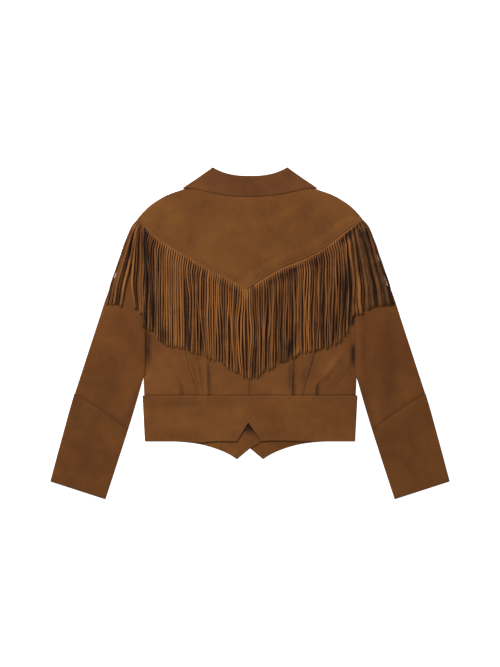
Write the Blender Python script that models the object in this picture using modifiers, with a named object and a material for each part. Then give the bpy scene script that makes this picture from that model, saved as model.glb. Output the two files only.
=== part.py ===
"""A fringed suede jacket laid out flat, back uppermost, as one model built from its cut pieces.

The frame is +X towards the wearer's right, +Y towards the collar and +Z up, with the
jacket's flat underside at Z = 0. Sizes and places are in millimetres, and every point is
scaled to metres as it is placed. Each piece is the right side of its cloth, given its
wall with Solidify on the wrong side. A surface function answers where a grid's column
and row lie.
"""

import math
from collections import namedtuple

import bmesh
import bpy
from mathutils import Vector

METRES = 0.001

# Cloth and the layers it lies in.
WALL = 1.5
COLLAR_WALL = 1.4
BAND_WALL = 2.1
SEAM_GAP = 0.3
HALF_GAP = SEAM_GAP / 2
FRONT_TOP = WALL
BACK_TOP = 6.7
FOLD_FOOT = FRONT_TOP + 3 * SEAM_GAP
OVERLAP_LIFT = WALL + 2 * SEAM_GAP
EDGE_ROLL = 7.0

# Body.
CENTRE_BACK_X = -1.0
SIDE_X = 222.0
WAIST_Y = -130.0
UNDERARM_Y = 30.0
FRONT_LAP = 22.0

# Waistband.
BAND_TOP = 7.4
BAND_SIDE_X = 224.4
BAND_LAP_X = 24.0
BAND_LIFT = BAND_WALL + SEAM_GAP

# Sleeves.
SLEEVE_TOP = BACK_TOP
CUFF_TOP = 7.2
ARMHOLE_GAP = 0.9

# Yoke and its seam with the fringe.
YOKE_TIP_X = 235.6
YOKE_END_X = 231.0
YOKE_RIDGE = 1.8
RIDGE_FLAT = 7.5
RIDGE_FADE = 20.0
TUCKED_UNDER_YOKE = 6.0

# Collar.
COLLAR_CORE_Z = 4.3
STAND_OFFSET = 0.5
LEAF_OFFSET = 4.3
NECK_HALF_X = 84.0

# Fringe.
STRANDS_PER_SIDE = 47
STRAND_PITCH = 4.97
STRAND_WIDTH = 4.0
STRAND_WALL = 1.3
STRIP_WALL = 0.9
STRIP_DROP = 7.0
STRIP_Z = BACK_TOP + SEAM_GAP
STRAND_STEPS = 4
FAN_START_X = 192.0

Point = namedtuple("Point", "x y")
Section = namedtuple("Section", "outer_x outer_y inner_y")
CollarRow = namedtuple("CollarRow", "back_y side_x side_y front_x front_y bow turn")
Tuck = namedtuple("Tuck", "x height")

# The yoke's lower edge, a bowed V, from the armhole tips to its point.
YOKE_EDGE_LEFT = (
    Point(-236.2, 240.2),
    Point(-215.5, 220.1),
    Point(-191.3, 197.2),
    Point(-167.2, 182.7),
    Point(-135.9, 164.6),
    Point(-101.6, 143.2),
    Point(-60.9, 124.0),
    Point(-6.3, 92.4),
)
YOKE_EDGE_RIGHT = (
    Point(-6.3, 92.4),
    Point(24.8, 114.0),
    Point(67.6, 138.4),
    Point(121.4, 160.4),
    Point(153.3, 178.4),
    Point(194.3, 210.4),
    Point(236.2, 240.2),
)

# The neck and shoulder line of the back, from the centre to the sleeve head.
SHOULDER = (
    Point(0.0, 307.6),
    Point(30.0, 309.0),
    Point(60.0, 314.2),
    Point(84.0, 321.0),
    Point(100.0, 316.5),
    Point(120.0, 310.2),
    Point(138.6, 303.5),
    Point(165.0, 294.6),
    Point(178.5, 288.8),
    Point(193.8, 280.4),
    Point(207.9, 270.8),
    Point(220.5, 259.6),
    Point(228.0, 251.5),
    Point(236.2, 241.5),
)

# The neckline of a front, from past the centre line out to the shoulder.
FRONT_NECK = (
    Point(-22.0, 222.0),
    Point(4.0, 227.0),
    Point(36.0, 252.5),
    Point(56.0, 277.0),
    Point(84.0, 320.5),
    Point(100.0, 316.5),
)

# The side of the body: the armhole above the underarm and the side seam below it.
BODY_SIDE = (
    Point(235.8, 239.4),
    Point(231.4, 222.0),
    Point(226.2, 192.0),
    Point(222.2, 150.0),
    Point(220.6, 104.0),
    Point(220.8, 58.0),
    Point(SIDE_X, UNDERARM_Y),
    Point(SIDE_X, WAIST_Y),
)

# The princess seam, and the folds of the long and the small tuck, up from the waist.
PRINCESS = (
    Point(111.0, -130.0),
    Point(117.0, -106.0),
    Point(123.5, -85.0),
    Point(131.0, -62.0),
    Point(135.5, -40.0),
    Point(146.0, 60.0),
    Point(152.0, 180.0),
)
LONG_TUCK = (
    Point(87.6, -130.0),
    Point(88.4, -91.0),
    Point(89.7, -56.0),
    Point(92.0, 180.0),
)
SMALL_TUCK = (
    Point(137.6, -130.0),
    Point(138.4, -112.0),
    Point(145.2, -99.0),
    Point(165.0, 30.0),
    Point(180.0, 200.0),
)
LONG_TUCK_TOP_Y = -52.0
SMALL_TUCK_TOP_Y = -90.0

# A tuck across its fold: a lip that stands up and the trough beside it.
TUCK_PROFILE = (
    Tuck(-9.0, 0.0),
    Tuck(-2.5, 0.3),
    Tuck(0.0, 0.3),
    Tuck(2.2, -1.5),
    Tuck(9.0, 0.0),
)

# Sleeve sections from the head to the cuff; a section runs from the sleeve's outer
# fold to its inner one.
UPPER_SLEEVE = (
    Section(245.4, 230.4, 229.4),
    Section(252.4, 216.0, 216.0),
    Section(261.5, 192.0, 192.0),
    Section(277.0, 150.0, 150.0),
    Section(291.4, 110.0, 104.0),
    Section(304.5, 70.4, 58.0),
    Section(309.4, 55.5, 43.0),
    Section(314.0, 41.0, 30.0),
    Section(323.5, 11.5, -5.0),
    Section(336.0, -27.0, -47.0),
    Section(347.7, -64.0, -89.5),
    Section(357.4, -95.0, -143.0),
    Section(366.7, -125.2, -202.9),
)
LOWER_SLEEVE = (
    Section(369.2, -125.8, -203.6),
    Section(379.4, -160.0, -228.0),
    Section(391.6, -205.0, -262.0),
    Section(406.0, -258.0, -304.0),
    Section(420.0, -310.8, -348.5),
)
ELBOW = Point(223.4, -89.5)
CUFF_INNER = Point(303.8, -348.5)

# The front's hem along the waistband: straight from the side, then down to a point.
FRONT_HEM = (
    Point(-24.0, -226.4),
    Point(-0.6, -241.1),
    Point(27.4, -263.4),
    Point(42.4, -253.6),
    Point(62.4, -244.4),
    Point(82.5, -237.6),
    Point(105.0, -232.0),
    Point(134.4, -228.4),
    Point(168.0, -227.0),
    Point(224.4, -227.0),
)
# The back's hem with its notch at the centre.
BACK_HEM = (
    Point(-224.4, -227.0),
    Point(-185.0, -227.0),
    Point(-145.0, -227.0),
    Point(-105.0, -227.6),
    Point(-66.0, -227.0),
    Point(-27.3, -227.0),
    Point(-15.2, -207.0),
    Point(-3.2, -187.5),
    Point(10.2, -207.0),
    Point(23.5, -227.0),
    Point(64.0, -227.0),
    Point(105.0, -227.4),
    Point(145.0, -227.0),
    Point(185.0, -227.0),
    Point(224.4, -227.0),
)

# Where the strands end, from the centre outwards.
FRINGE_ENDS = (
    Point(0.0, -95.0),
    Point(12.0, -92.5),
    Point(22.0, -84.0),
    Point(36.0, -78.0),
    Point(50.0, -70.0),
    Point(60.0, -62.0),
    Point(82.0, -55.0),
    Point(107.0, -42.0),
    Point(145.0, -33.0),
    Point(187.0, -19.0),
    Point(203.0, 4.0),
    Point(220.0, 14.0),
    Point(236.0, 40.0),
    Point(270.0, 56.0),
    Point(302.0, 61.0),
)

# The collar's lines, from the neck seam up the stand, over the fold and down the leaf.
NECK_SEAM = CollarRow(308.3, 83.0, 322.5, 34.0, 255.0, 2.0, 0.0)
FOLD_LINE = CollarRow(330.3, 77.0, 348.4, 38.0, 270.0, 2.6, 0.0)
LEAF_MIDDLE = CollarRow(309.0, 105.2, 327.6, 58.0, 246.0, 2.8, 1.6)
LEAF_EDGE = CollarRow(288.0, 134.9, 305.8, 80.0, 221.0, 3.0, 3.5)
BACK_COLUMNS = 7
TURN_COLUMNS = 4
FRONT_COLUMNS = 4


class Curve:
    """A smooth line through a table's points, read as one column against another."""

    def __init__(self, table, across="x", value="y"):
        rows = sorted(table, key=lambda row: getattr(row, across))
        self.across = [getattr(row, across) for row in rows]
        self.value = [getattr(row, value) for row in rows]
        self.slope = [self.slope_at(index) for index in range(len(rows))]

    def chord(self, index):
        rise = self.value[index + 1] - self.value[index]
        return rise / (self.across[index + 1] - self.across[index])

    def slope_at(self, index):
        """The slope at a row, level where the line turns back, so that it never overshoots."""
        last = len(self.across) - 1
        if index == 0:
            return self.chord(0)
        if index == last:
            return self.chord(last - 1)
        before, after = self.chord(index - 1), self.chord(index)
        if before * after <= 0:
            return 0.0
        return 2 * before * after / (before + after)

    def __call__(self, place):
        place = min(max(place, self.across[0]), self.across[-1])
        index = 0
        while index < len(self.across) - 2 and place > self.across[index + 1]:
            index += 1
        run = self.across[index + 1] - self.across[index]
        t = (place - self.across[index]) / run
        start = self.value[index] * (1 + 2 * t) * (1 - t) ** 2
        end = self.value[index + 1] * t * t * (3 - 2 * t)
        leaving = self.slope[index] * run * t * (1 - t) ** 2
        arriving = self.slope[index + 1] * run * t * t * (t - 1)
        return start + end + leaving + arriving


yoke_edge_left = Curve(YOKE_EDGE_LEFT)
yoke_edge_right = Curve(YOKE_EDGE_RIGHT)
shoulder = Curve(SHOULDER)
front_neck = Curve(FRONT_NECK)
body_side = Curve(BODY_SIDE, "y", "x")
princess = Curve(PRINCESS, "y", "x")
long_tuck = Curve(LONG_TUCK, "y", "x")
small_tuck = Curve(SMALL_TUCK, "y", "x")
tuck_profile = Curve(TUCK_PROFILE, "x", "height")
front_hem = Curve(FRONT_HEM)
fringe_ends = Curve(FRINGE_ENDS)
sleeve_edge = Curve(UPPER_SLEEVE, "outer_y", "outer_x")


def mix(start, end, share):
    return start + (end - start) * share


def ease(start, end, place):
    """0 at start, 1 at end, and smooth between them, whichever is the larger."""
    share = min(max((place - start) / (end - start), 0.0), 1.0)
    return share * share * (3 - 2 * share)


def yoke_edge(x):
    """The height up the back of the yoke's lower edge at a place across it."""
    return yoke_edge_left(x) if x < YOKE_EDGE_RIGHT[0].x else yoke_edge_right(x)


# Making objects.


def suede(name, colour, roughness):
    material = bpy.data.materials.new(name)
    material.use_nodes = True
    shader = material.node_tree.nodes["Principled BSDF"]
    shader.inputs["Base Color"].default_value = (*colour, 1.0)
    shader.inputs["Roughness"].default_value = roughness
    shader.inputs["Metallic"].default_value = 0.0
    material.diffuse_color = (*colour, 1.0)
    return material


def place_object(name, bm, material):
    mesh = bpy.data.meshes.new(name)
    bm.to_mesh(mesh)
    bm.free()
    mesh.materials.append(material)
    piece = bpy.data.objects.new(name, mesh)
    bpy.data.collections["fringed_jacket"].objects.link(piece)
    return piece


def cloth(name, material, columns, rows, surface, wall=WALL, face_down=False):
    """A sheet of cloth: a grid laid where surface(column, row) says, given its wall."""
    bm = bmesh.new()
    bmesh.ops.create_grid(bm, x_segments=columns, y_segments=rows, size=0.5)
    for vert in bm.verts:
        column = round((vert.co.x + 0.5) * columns)
        row = round((vert.co.y + 0.5) * rows)
        vert.co = Vector(surface(column, row)) * METRES
    bmesh.ops.remove_doubles(bm, verts=bm.verts, dist=0.02 * METRES)
    if face_down:
        bmesh.ops.reverse_faces(bm, faces=bm.faces)
    piece = place_object(name, bm, material)
    piece.data.shade_smooth()
    thickness = piece.modifiers.new("Wall", "SOLIDIFY")
    thickness.thickness = wall * METRES
    thickness.offset = -1.0
    thickness.use_quality_normals = True
    return piece


# Body.


def tuck_height(x, y, fold, top_y):
    """How far a tuck lifts or sinks the back, fading out up the back."""
    fade = 1 - ease(WAIST_Y + 10.0, top_y, y)
    return fade * tuck_profile(x - fold(y))


def back_height(x, y):
    """The top of the back at a point of its right half."""
    lift = tuck_height(x, y, long_tuck, LONG_TUCK_TOP_Y)
    return BACK_TOP + lift + tuck_height(x, y, small_tuck, SMALL_TUCK_TOP_Y)


def back_top_edge(side, x):
    """Where a back panel ends under the yoke; it is cut short at the armhole."""
    tucked = mix(TUCKED_UNDER_YOKE, -1.2, ease(200.0, 222.0, x))
    return yoke_edge(side * x) + tucked


def column_lines(guides, counts):
    """Lines up a panel: guides that it must have, and others spaced evenly between them."""
    lines = []
    for left, right, count in zip(guides, guides[1:], counts):
        for step in range(count):
            share = step / count
            lines.append(lambda y, a=left, b=right, s=share: mix(a(y), b(y), s))
    return lines + [guides[-1]]


def panel_point(lines, column, row, rows, side):
    """A point of a back panel that hangs between the waist and the yoke."""
    top = back_top_edge(side, lines[column](150.0))
    top = back_top_edge(side, lines[column](top))
    y = mix(WAIST_Y + HALF_GAP, top, row / rows)
    return lines[column](y), y


def back_panel(name, material, side):
    """The centre panel of one half of the back, from the centre seam to the princess seam."""
    centre = CENTRE_BACK_X * side + HALF_GAP
    guides = [lambda y: centre]
    guides += [lambda y, d=row.x: long_tuck(y) + d for row in TUCK_PROFILE]
    guides.append(lambda y: princess(y) - HALF_GAP)
    lines = column_lines(guides, (4, 1, 1, 1, 1, 2))
    rows = 14

    def surface(column, row):
        x, y = panel_point(lines, column, row, rows, side)
        return side * x, y, back_height(x, y)

    return cloth(name, material, len(lines) - 1, rows, surface, face_down=side < 0)


def side_panel(name, material, side):
    """The side panel of one half of the back, rolled down to the side seam."""
    guides = [lambda y: princess(y) + HALF_GAP]
    guides += [lambda y, d=row.x: small_tuck(y) + d for row in TUCK_PROFILE]
    guides.append(lambda y: body_side(y) - EDGE_ROLL)
    lines = column_lines(guides, (1, 1, 1, 1, 1, 2))
    flat_columns = len(lines) - 1
    roll_columns = 3
    rows = 14

    def surface(column, row):
        x, y = panel_point(lines, min(column, flat_columns), row, rows, side)
        z = back_height(x, y)
        if column > flat_columns:
            turn = (column - flat_columns) / roll_columns
            rolled = 1 - ease(UNDERARM_Y - 14.0, UNDERARM_Y + 22.0, y)
            angle = turn * math.pi / 2
            reach = mix(turn, math.sin(angle), rolled)
            x = body_side(y) - EDGE_ROLL * (1 - reach)
            z = mix(z, mix(FOLD_FOOT, z, math.cos(angle)), rolled)
        return side * x, y, z

    columns = flat_columns + roll_columns
    return cloth(name, material, columns, rows, surface, face_down=side < 0)


def leaf_lift(x, y):
    """How far the collar's leaf lifts a front that lies on it."""
    run = LEAF_EDGE.front_x - LEAF_EDGE.side_x, LEAF_EDGE.front_y - LEAF_EDGE.side_y
    length = math.hypot(*run)
    beyond = (run[0] * (y - LEAF_EDGE.side_y) - run[1] * (x - LEAF_EDGE.side_x)) / length
    across = (LEAF_EDGE.front_x - FOLD_LINE.front_x, LEAF_EDGE.front_y - FOLD_LINE.front_y)
    end = (across[0] * (y - FOLD_LINE.front_y) - across[1] * (x - FOLD_LINE.front_x))
    end /= math.hypot(*across)
    return ease(54.0, 32.0, beyond) * ease(-40.0, -24.0, end) * OVERLAP_LIFT


def front_panel(name, material, side):
    """One front, flat on its right side; the left one lies over the right at the centre."""
    lap_columns = 3
    outer_shares = (0.0, 0.09, 0.17, 0.27, 0.38, 0.52, 0.68, 0.84, 1.0)
    columns = lap_columns + len(outer_shares) - 1
    lap_end = FRONT_LAP + 4.0
    flat_from = FRONT_LAP + 22.0
    row_shares = (0.0, 0.22, 0.44, 0.58, 0.66, 0.72, 0.78, 0.83, 0.88, 0.92, 0.96, 1.0)

    def column_x(column, y):
        if column <= lap_columns:
            return mix(-FRONT_LAP, lap_end, column / lap_columns)
        return mix(lap_end, body_side(y), outer_shares[column - lap_columns])

    def top_edge(x):
        return front_neck(x) if x < NECK_HALF_X else shoulder(x)

    def surface(column, row):
        top = top_edge(column_x(column, 200.0))
        top = top_edge(column_x(column, top))
        y = mix(WAIST_Y + HALF_GAP, top, row_shares[row])
        x = column_x(column, y)
        z = leaf_lift(x, y)
        if side < 0:
            lapped = OVERLAP_LIFT + SEAM_GAP + leaf_lift(-x, y)
            z = max(z, lapped * ease(flat_from, lap_end, x))
        return side * x, y, z

    rows = len(row_shares) - 1
    return cloth(name, material, columns, rows, surface, face_down=side > 0)


def yoke(name, material):
    """The back yoke, ridged along its V edge and rolled down over both shoulders."""
    columns, flat_rows, roll_rows = 30, 7, 3
    ridge_reaches = (0.0, RIDGE_FLAT, RIDGE_FADE)

    def surface(column, row):
        share = 2 * column / columns - 1
        low_x = YOKE_TIP_X * share
        high_x = YOKE_END_X * share
        low_y = yoke_edge(low_x)
        high_y = shoulder(abs(high_x))
        length = high_y - low_y
        rolled = ease(NECK_HALF_X - 2.0, NECK_HALF_X + 14.0, abs(high_x))
        roll = min(EDGE_ROLL, 0.5 * length)
        near = [min(reach, 0.12 * length * k) for k, reach in enumerate(ridge_reaches)]
        if row <= flat_rows:
            if row < len(near):
                up = near[row]
            else:
                spread = (row - len(near) + 1) / (flat_rows - len(near) + 1)
                up = mix(near[-1], length - roll, spread)
            sink = 0.0
        else:
            angle = (row - flat_rows) / roll_rows * math.pi / 2
            up = length - roll * (1 - math.sin(angle))
            sink = rolled * (1 - math.cos(angle))
        z = BACK_TOP + YOKE_RIDGE * (1 - ease(near[1], near[2], up))
        x = mix(low_x, high_x, up / length)
        foot = FOLD_FOOT + 1.4 * leaf_lift(abs(high_x) - 12.0, high_y)
        return x, low_y + up, mix(z, foot, sink)

    return cloth(name, material, columns, flat_rows + roll_rows, surface)


# Waistband.


def waistband(name, material):
    """One band round the hem, open at the centre front, where its two points cross."""
    radius = BAND_TOP / 2
    Stop = namedtuple("Stop", "x hem_y z")
    turns = [math.pi * step / 4 for step in (0, 1, 2, 3, 4)]
    front_x = [row.x for row in FRONT_HEM[:-1]]

    def front_stops(side):
        stops = []
        for x in front_x:
            lifted = BAND_LIFT * ease(FRONT_LAP + 16.0, FRONT_LAP + 4.0, x)
            stops.append(Stop(side * x, front_hem(x), lifted if side < 0 else 0.0))
        return stops

    def fold_stops(side):
        stops = []
        for turn in turns:
            x = BAND_SIDE_X - radius + radius * math.sin(turn)
            stops.append(Stop(side * x, BACK_HEM[0].y, radius - radius * math.cos(turn)))
        return stops

    back_stops = [Stop(row.x, row.y, BAND_TOP) for row in BACK_HEM[1:-1]]
    stops = front_stops(-1) + fold_stops(-1) + back_stops
    stops += fold_stops(1)[::-1] + front_stops(1)[::-1]
    rows = 4

    def surface(column, row):
        stop = stops[column]
        top = WAIST_Y - HALF_GAP
        return stop.x, mix(stop.hem_y, top, row / rows), stop.z

    return cloth(name, material, len(stops) - 1, rows, surface, wall=BAND_WALL)


# Sleeves.


def ring_stops(width, top, closed):
    """Round a flattened sleeve: how far across and how high, from its inner fold's top
    round the outer fold to its inner fold's foot. An open ring ends flat at the armhole."""
    radius = top / 2
    outer = min(radius, 0.55 * width)
    stops = []
    for angle in (0.0, 0.25 * math.pi, 0.5 * math.pi):
        across = radius * (1 - math.cos(angle))
        straight = radius * angle / (0.5 * math.pi)
        high = radius + radius * math.sin(angle)
        stops.append((mix(straight, across, closed), mix(top, high, closed)))
    start = min(stops[-1][0], 0.4 * width)
    stops = [(min(across, start * k / 2), high) for k, (across, high) in enumerate(stops)]
    top_count, foot_count = 7, 4
    for step in range(1, top_count + 1):
        stops.append((mix(start, width - outer, step / top_count), top))
    for step in range(1, 5):
        angle = step * math.pi / 4
        stops.append((width - outer + outer * math.sin(angle), radius + radius * math.cos(angle)))
    for step in range(1, foot_count + 1):
        stops.append((mix(width - outer, start, step / foot_count), 0.0))
    for across, high in stops[1::-1]:
        stops.append((across, top - high))
    return stops


def inner_fold_x(y):
    """The inner fold of a sleeve: along the body, and straight on to the cuff."""
    if y >= ELBOW.y:
        return body_side(y) + ARMHOLE_GAP + (ELBOW.x - SIDE_X - ARMHOLE_GAP) * (y < UNDERARM_Y)
    return mix(ELBOW.x, CUFF_INNER.x, (ELBOW.y - y) / (ELBOW.y - CUFF_INNER.y))


def sleeve_piece(name, material, side, sections, top, rows_between):
    """A flattened tube lofted through its sections, open at both ends."""
    outer_x = [row.outer_x for row in sections]
    rows = (len(sections) - 1) * rows_between
    columns = len(ring_stops(100.0, top, 1.0)) - 1

    def surface(column, row):
        index = min(row // rows_between, len(sections) - 2)
        share = row / rows_between - index
        here, after = sections[index], sections[index + 1]
        outer = Vector((mix(outer_x[index], outer_x[index + 1], share),
                        mix(here.outer_y, after.outer_y, share)))
        inner_y = mix(here.inner_y, after.inner_y, share)
        inner = Vector((inner_fold_x(inner_y), inner_y))
        width = (outer - inner).length
        closed = ease(UNDERARM_Y + 26.0, UNDERARM_Y, inner_y)
        across, high = ring_stops(width, top, closed)[column]
        spot = inner.lerp(outer, across / width)
        return side * spot.x, spot.y, high

    return cloth(name, material, columns, rows, surface, face_down=side > 0)


# Collar.


def collar_spot(line, step):
    """Where one of the collar's lines lies, in plan, at a step out from the centre back."""
    if step <= BACK_COLUMNS:
        share = step / BACK_COLUMNS
        bowed = share ** line.bow * (1 + line.turn * (1 - share))
        return Vector((line.side_x * share, mix(line.back_y, line.side_y, bowed)))
    share = max(step - BACK_COLUMNS - TURN_COLUMNS, 0) / FRONT_COLUMNS
    side = Vector((line.side_x, line.side_y))
    return side.lerp(Vector((line.front_x, line.front_y)), share)


def collar_station(step):
    """The collar's section at a step round it: the place of each row in plan, and how far
    the row stands off the middle of the flattened neck."""
    seam, fold, leaf_middle, leaf_edge = (
        collar_spot(line, step) for line in (NECK_SEAM, FOLD_LINE, LEAF_MIDDLE, LEAF_EDGE)
    )
    inward = ((seam - fold).normalized() + (leaf_middle - fold).normalized()).normalized()
    if BACK_COLUMNS <= step <= BACK_COLUMNS + TURN_COLUMNS:
        inward = Vector((0.0, -1.0))
    radius = (LEAF_OFFSET - STAND_OFFSET) / 2
    section = [(seam, STAND_OFFSET)]
    for degrees in (-90, -45, 0, 45, 90):
        angle = math.radians(degrees)
        spot = fold + inward * radius * (1 - math.cos(angle))
        section.append((spot, STAND_OFFSET + radius + radius * math.sin(angle)))
    return section + [(leaf_middle, LEAF_OFFSET), (leaf_edge, LEAF_OFFSET)]


def collar(name, material):
    """A stand with its leaf folded over it, once round the flattened neck."""
    half = BACK_COLUMNS + TURN_COLUMNS + FRONT_COLUMNS
    stations = [collar_station(step) for step in range(half + 1)]

    def surface(column, row):
        side = -1 if column < half else 1
        step = abs(column - half)
        spot, offset = stations[step][row]
        turn = min(max(step - BACK_COLUMNS, 0) / TURN_COLUMNS, 1.0) * math.pi
        x = spot.x + offset * math.sin(turn)
        return side * x, spot.y, COLLAR_CORE_Z + offset * math.cos(turn)

    rows = len(stations[0]) - 1
    return cloth(name, material, 2 * half, rows, surface, COLLAR_WALL, face_down=True)


# Fringe.


def strand_path(side, index, share):
    """The middle of a strand at a share of its length: its place across and up the back."""
    root_x = STRAND_WIDTH * 0.9 + index * STRAND_PITCH
    root_y = yoke_edge(side * root_x) - SEAM_GAP - STRIP_DROP
    last_root_x = STRAND_WIDTH * 0.9 + (STRANDS_PER_SIDE - 1) * STRAND_PITCH
    fan = max(root_x - FAN_START_X, 0.0) / (last_root_x - FAN_START_X)
    spread = fan ** 1.3 * (sleeve_edge(60.0) - YOKE_TIP_X - 2.0)
    end_y = fringe_ends(root_x + spread)
    y = mix(root_y, end_y, share)
    follow = (sleeve_edge(y) - sleeve_edge(root_y)) / (sleeve_edge(60.0) - YOKE_TIP_X)
    sway = 2.2 * share * math.sin(0.19 * index + side + 1.6 * share)
    return root_x + spread * follow + sway, y


def fringe(name, material, side):
    """A strip under one side of the yoke's edge, with its strands cut from its lower part."""
    last_column = 2 * STRANDS_PER_SIDE - 1

    def edge_x(column):
        index, right = divmod(column, 2)
        return STRAND_WIDTH * 0.9 + index * STRAND_PITCH + STRAND_WIDTH * (right - 0.5)

    bm = bmesh.new()
    bmesh.ops.create_grid(bm, x_segments=last_column, y_segments=1, size=0.5)
    for vert in bm.verts:
        x = edge_x(round((vert.co.x + 0.5) * last_column))
        drop = SEAM_GAP * 2 if vert.co.y > 0 else SEAM_GAP + STRIP_DROP
        vert.co = Vector((side * x, yoke_edge(side * x) - drop, STRIP_Z)) * METRES
    raised = bmesh.ops.extrude_face_region(bm, geom=bm.faces[:])["geom"]
    raised = [item for item in raised if isinstance(item, bmesh.types.BMVert)]
    bmesh.ops.translate(bm, verts=raised, vec=(0.0, 0.0, STRIP_WALL * METRES))
    bmesh.ops.recalc_face_normals(bm, faces=bm.faces)

    bm.faces.ensure_lookup_table()
    roots = {}
    for face in bm.faces:
        middle = face.calc_center_median() / METRES
        across = (side * middle.x - STRAND_WIDTH * 0.9) / STRAND_PITCH
        low = yoke_edge(middle.x) - SEAM_GAP - STRIP_DROP
        if abs(face.normal.z) < 0.5 and middle.y < low + 1.0 and abs(across - round(across)) < 0.1:
            roots[round(across)] = face

    for index, face in sorted(roots.items()):
        lift = 0.35 + 0.35 * math.sin(0.45 * index + side)
        for step in range(1, STRAND_STEPS + 1):
            share = step / STRAND_STEPS
            x, y = strand_path(side, index, share)
            middle_x = face.calc_center_median().x
            middle_z = face.calc_center_median().z
            face = bmesh.ops.extrude_discrete_faces(bm, faces=[face])["faces"][0]
            for vert in face.verts:
                edge = 0.5 if vert.co.x > middle_x else -0.5
                high = STRAND_WALL if vert.co.z > middle_z else 0.0
                z = STRIP_Z + 0.1 + lift * math.sin(share * math.pi) + high
                vert.co = Vector((side * x + edge * STRAND_WIDTH, y, z)) * METRES
    bmesh.ops.recalc_face_normals(bm, faces=bm.faces)
    return place_object(name, bm, material)


def build_jacket():
    """The jacket's pieces, each in its own suede."""
    yoke_suede = suede("yoke_suede", (0.181, 0.073, 0.021), 0.92)
    back_suede = suede("back_suede", (0.165, 0.065, 0.019), 0.92)
    side_suede = suede("side_suede", (0.155, 0.060, 0.018), 0.92)
    front_suede = suede("front_suede", (0.150, 0.058, 0.017), 0.92)
    band_suede = suede("band_suede", (0.160, 0.062, 0.018), 0.90)
    sleeve_suede = suede("sleeve_suede", (0.130, 0.048, 0.014), 0.92)
    cuff_suede = suede("cuff_suede", (0.125, 0.046, 0.014), 0.92)
    collar_suede = suede("collar_suede", (0.143, 0.053, 0.019), 0.90)
    fringe_suede = suede("fringe_suede", (0.200, 0.083, 0.024), 0.90)

    yoke("yoke", yoke_suede)
    collar("collar", collar_suede)
    waistband("waistband", band_suede)
    for side, word in ((-1, "left"), (1, "right")):
        back_panel(f"back_{word}", back_suede, side)
        side_panel(f"side_back_{word}", side_suede, side)
        front_panel(f"front_{word}", front_suede, side)
        sleeve_piece(f"sleeve_{word}", sleeve_suede, side, UPPER_SLEEVE, SLEEVE_TOP, 1)
        sleeve_piece(f"cuff_{word}", cuff_suede, side, LOWER_SLEEVE, CUFF_TOP, 1)
        fringe(f"fringe_{word}", fringe_suede, side)


def main():
    for item in list(bpy.data.objects):
        bpy.data.objects.remove(item)
    collection = bpy.data.collections.new("fringed_jacket")
    bpy.context.scene.collection.children.link(collection)
    build_jacket()


main()
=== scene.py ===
"""Fringed suede jacket, laid out flat with its back uppermost.

Each operator makes one piece, or one group of like pieces, as a thin shell of suede in the
place its solid holds. Sizes and places are in millimetres, +X towards the wearer's right,
+Y towards the collar and +Z up, and points are scaled to metres as they are placed. A side
is -1 for the wearer's left and 1 for the right, and what both sides share is mirrored.
"""

import math
import random
from collections import namedtuple

import bmesh
import bpy
from mathutils import Matrix, Vector, noise


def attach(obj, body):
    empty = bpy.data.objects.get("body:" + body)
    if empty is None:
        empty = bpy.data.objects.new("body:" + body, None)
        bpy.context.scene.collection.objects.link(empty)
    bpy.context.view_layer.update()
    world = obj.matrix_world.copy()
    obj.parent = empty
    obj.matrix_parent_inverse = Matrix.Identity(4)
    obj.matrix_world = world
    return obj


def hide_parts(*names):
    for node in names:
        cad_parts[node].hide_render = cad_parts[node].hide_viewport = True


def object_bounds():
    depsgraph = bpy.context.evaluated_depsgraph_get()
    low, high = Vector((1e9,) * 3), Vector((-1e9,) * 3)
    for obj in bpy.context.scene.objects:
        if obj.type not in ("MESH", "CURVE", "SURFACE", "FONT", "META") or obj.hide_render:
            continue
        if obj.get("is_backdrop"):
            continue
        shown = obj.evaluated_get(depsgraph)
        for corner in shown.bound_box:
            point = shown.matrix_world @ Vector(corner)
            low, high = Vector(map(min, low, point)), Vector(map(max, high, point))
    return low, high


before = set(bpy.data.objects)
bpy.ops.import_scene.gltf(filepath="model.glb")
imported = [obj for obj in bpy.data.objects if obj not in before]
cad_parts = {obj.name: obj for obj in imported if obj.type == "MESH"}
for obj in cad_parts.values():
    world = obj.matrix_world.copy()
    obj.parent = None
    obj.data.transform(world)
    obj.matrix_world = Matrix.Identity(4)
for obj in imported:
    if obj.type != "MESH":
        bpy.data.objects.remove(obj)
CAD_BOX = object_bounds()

bl_info = {
    "name": "Fringed Suede Jacket",
    "version": (1, 0, 0),
    "blender": (4, 5, 0),
    "location": "View3D > Sidebar > Jacket",
    "description": "Makes the pieces of a fringed suede jacket laid out flat",
    "category": "Add Mesh",
}

METRES = 0.001
SIDES = {-1: "left", 1: "right"}

Point = namedtuple("Point", "x y")
Section = namedtuple("Section", "outer_x outer_y inner_y")
CollarRow = namedtuple("CollarRow", "back_y side_x side_y front_x front_y bow turn")
Tuck = namedtuple("Tuck", "x height")
TuckDepths = namedtuple("TuckDepths", "long small princess")
Crease = namedtuple("Crease", "x y to_x to_y width height")
Groove = namedtuple("Groove", "depth width")
BandStop = namedtuple("BandStop", "x hem_y z")
Inset = namedtuple("Inset", "y inset")
Bunch = namedtuple("Bunch", "x calm tone slot")
FanStrand = namedtuple("FanStrand", "root_x middle_x end_x end_y width level tone")
Strand = namedtuple("Strand", FanStrand._fields + ("root_width", "twist", "phase", "slant", "calm", "pull"))
Cloth = namedtuple("Cloth", "slot wall seed width length area held rests_on")
Light = namedtuple("Light", "name place size power")


def table_of(kind, *rows):
    """A table whose rows are all one kind of named tuple."""
    return tuple(kind(*row) for row in rows)


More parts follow.
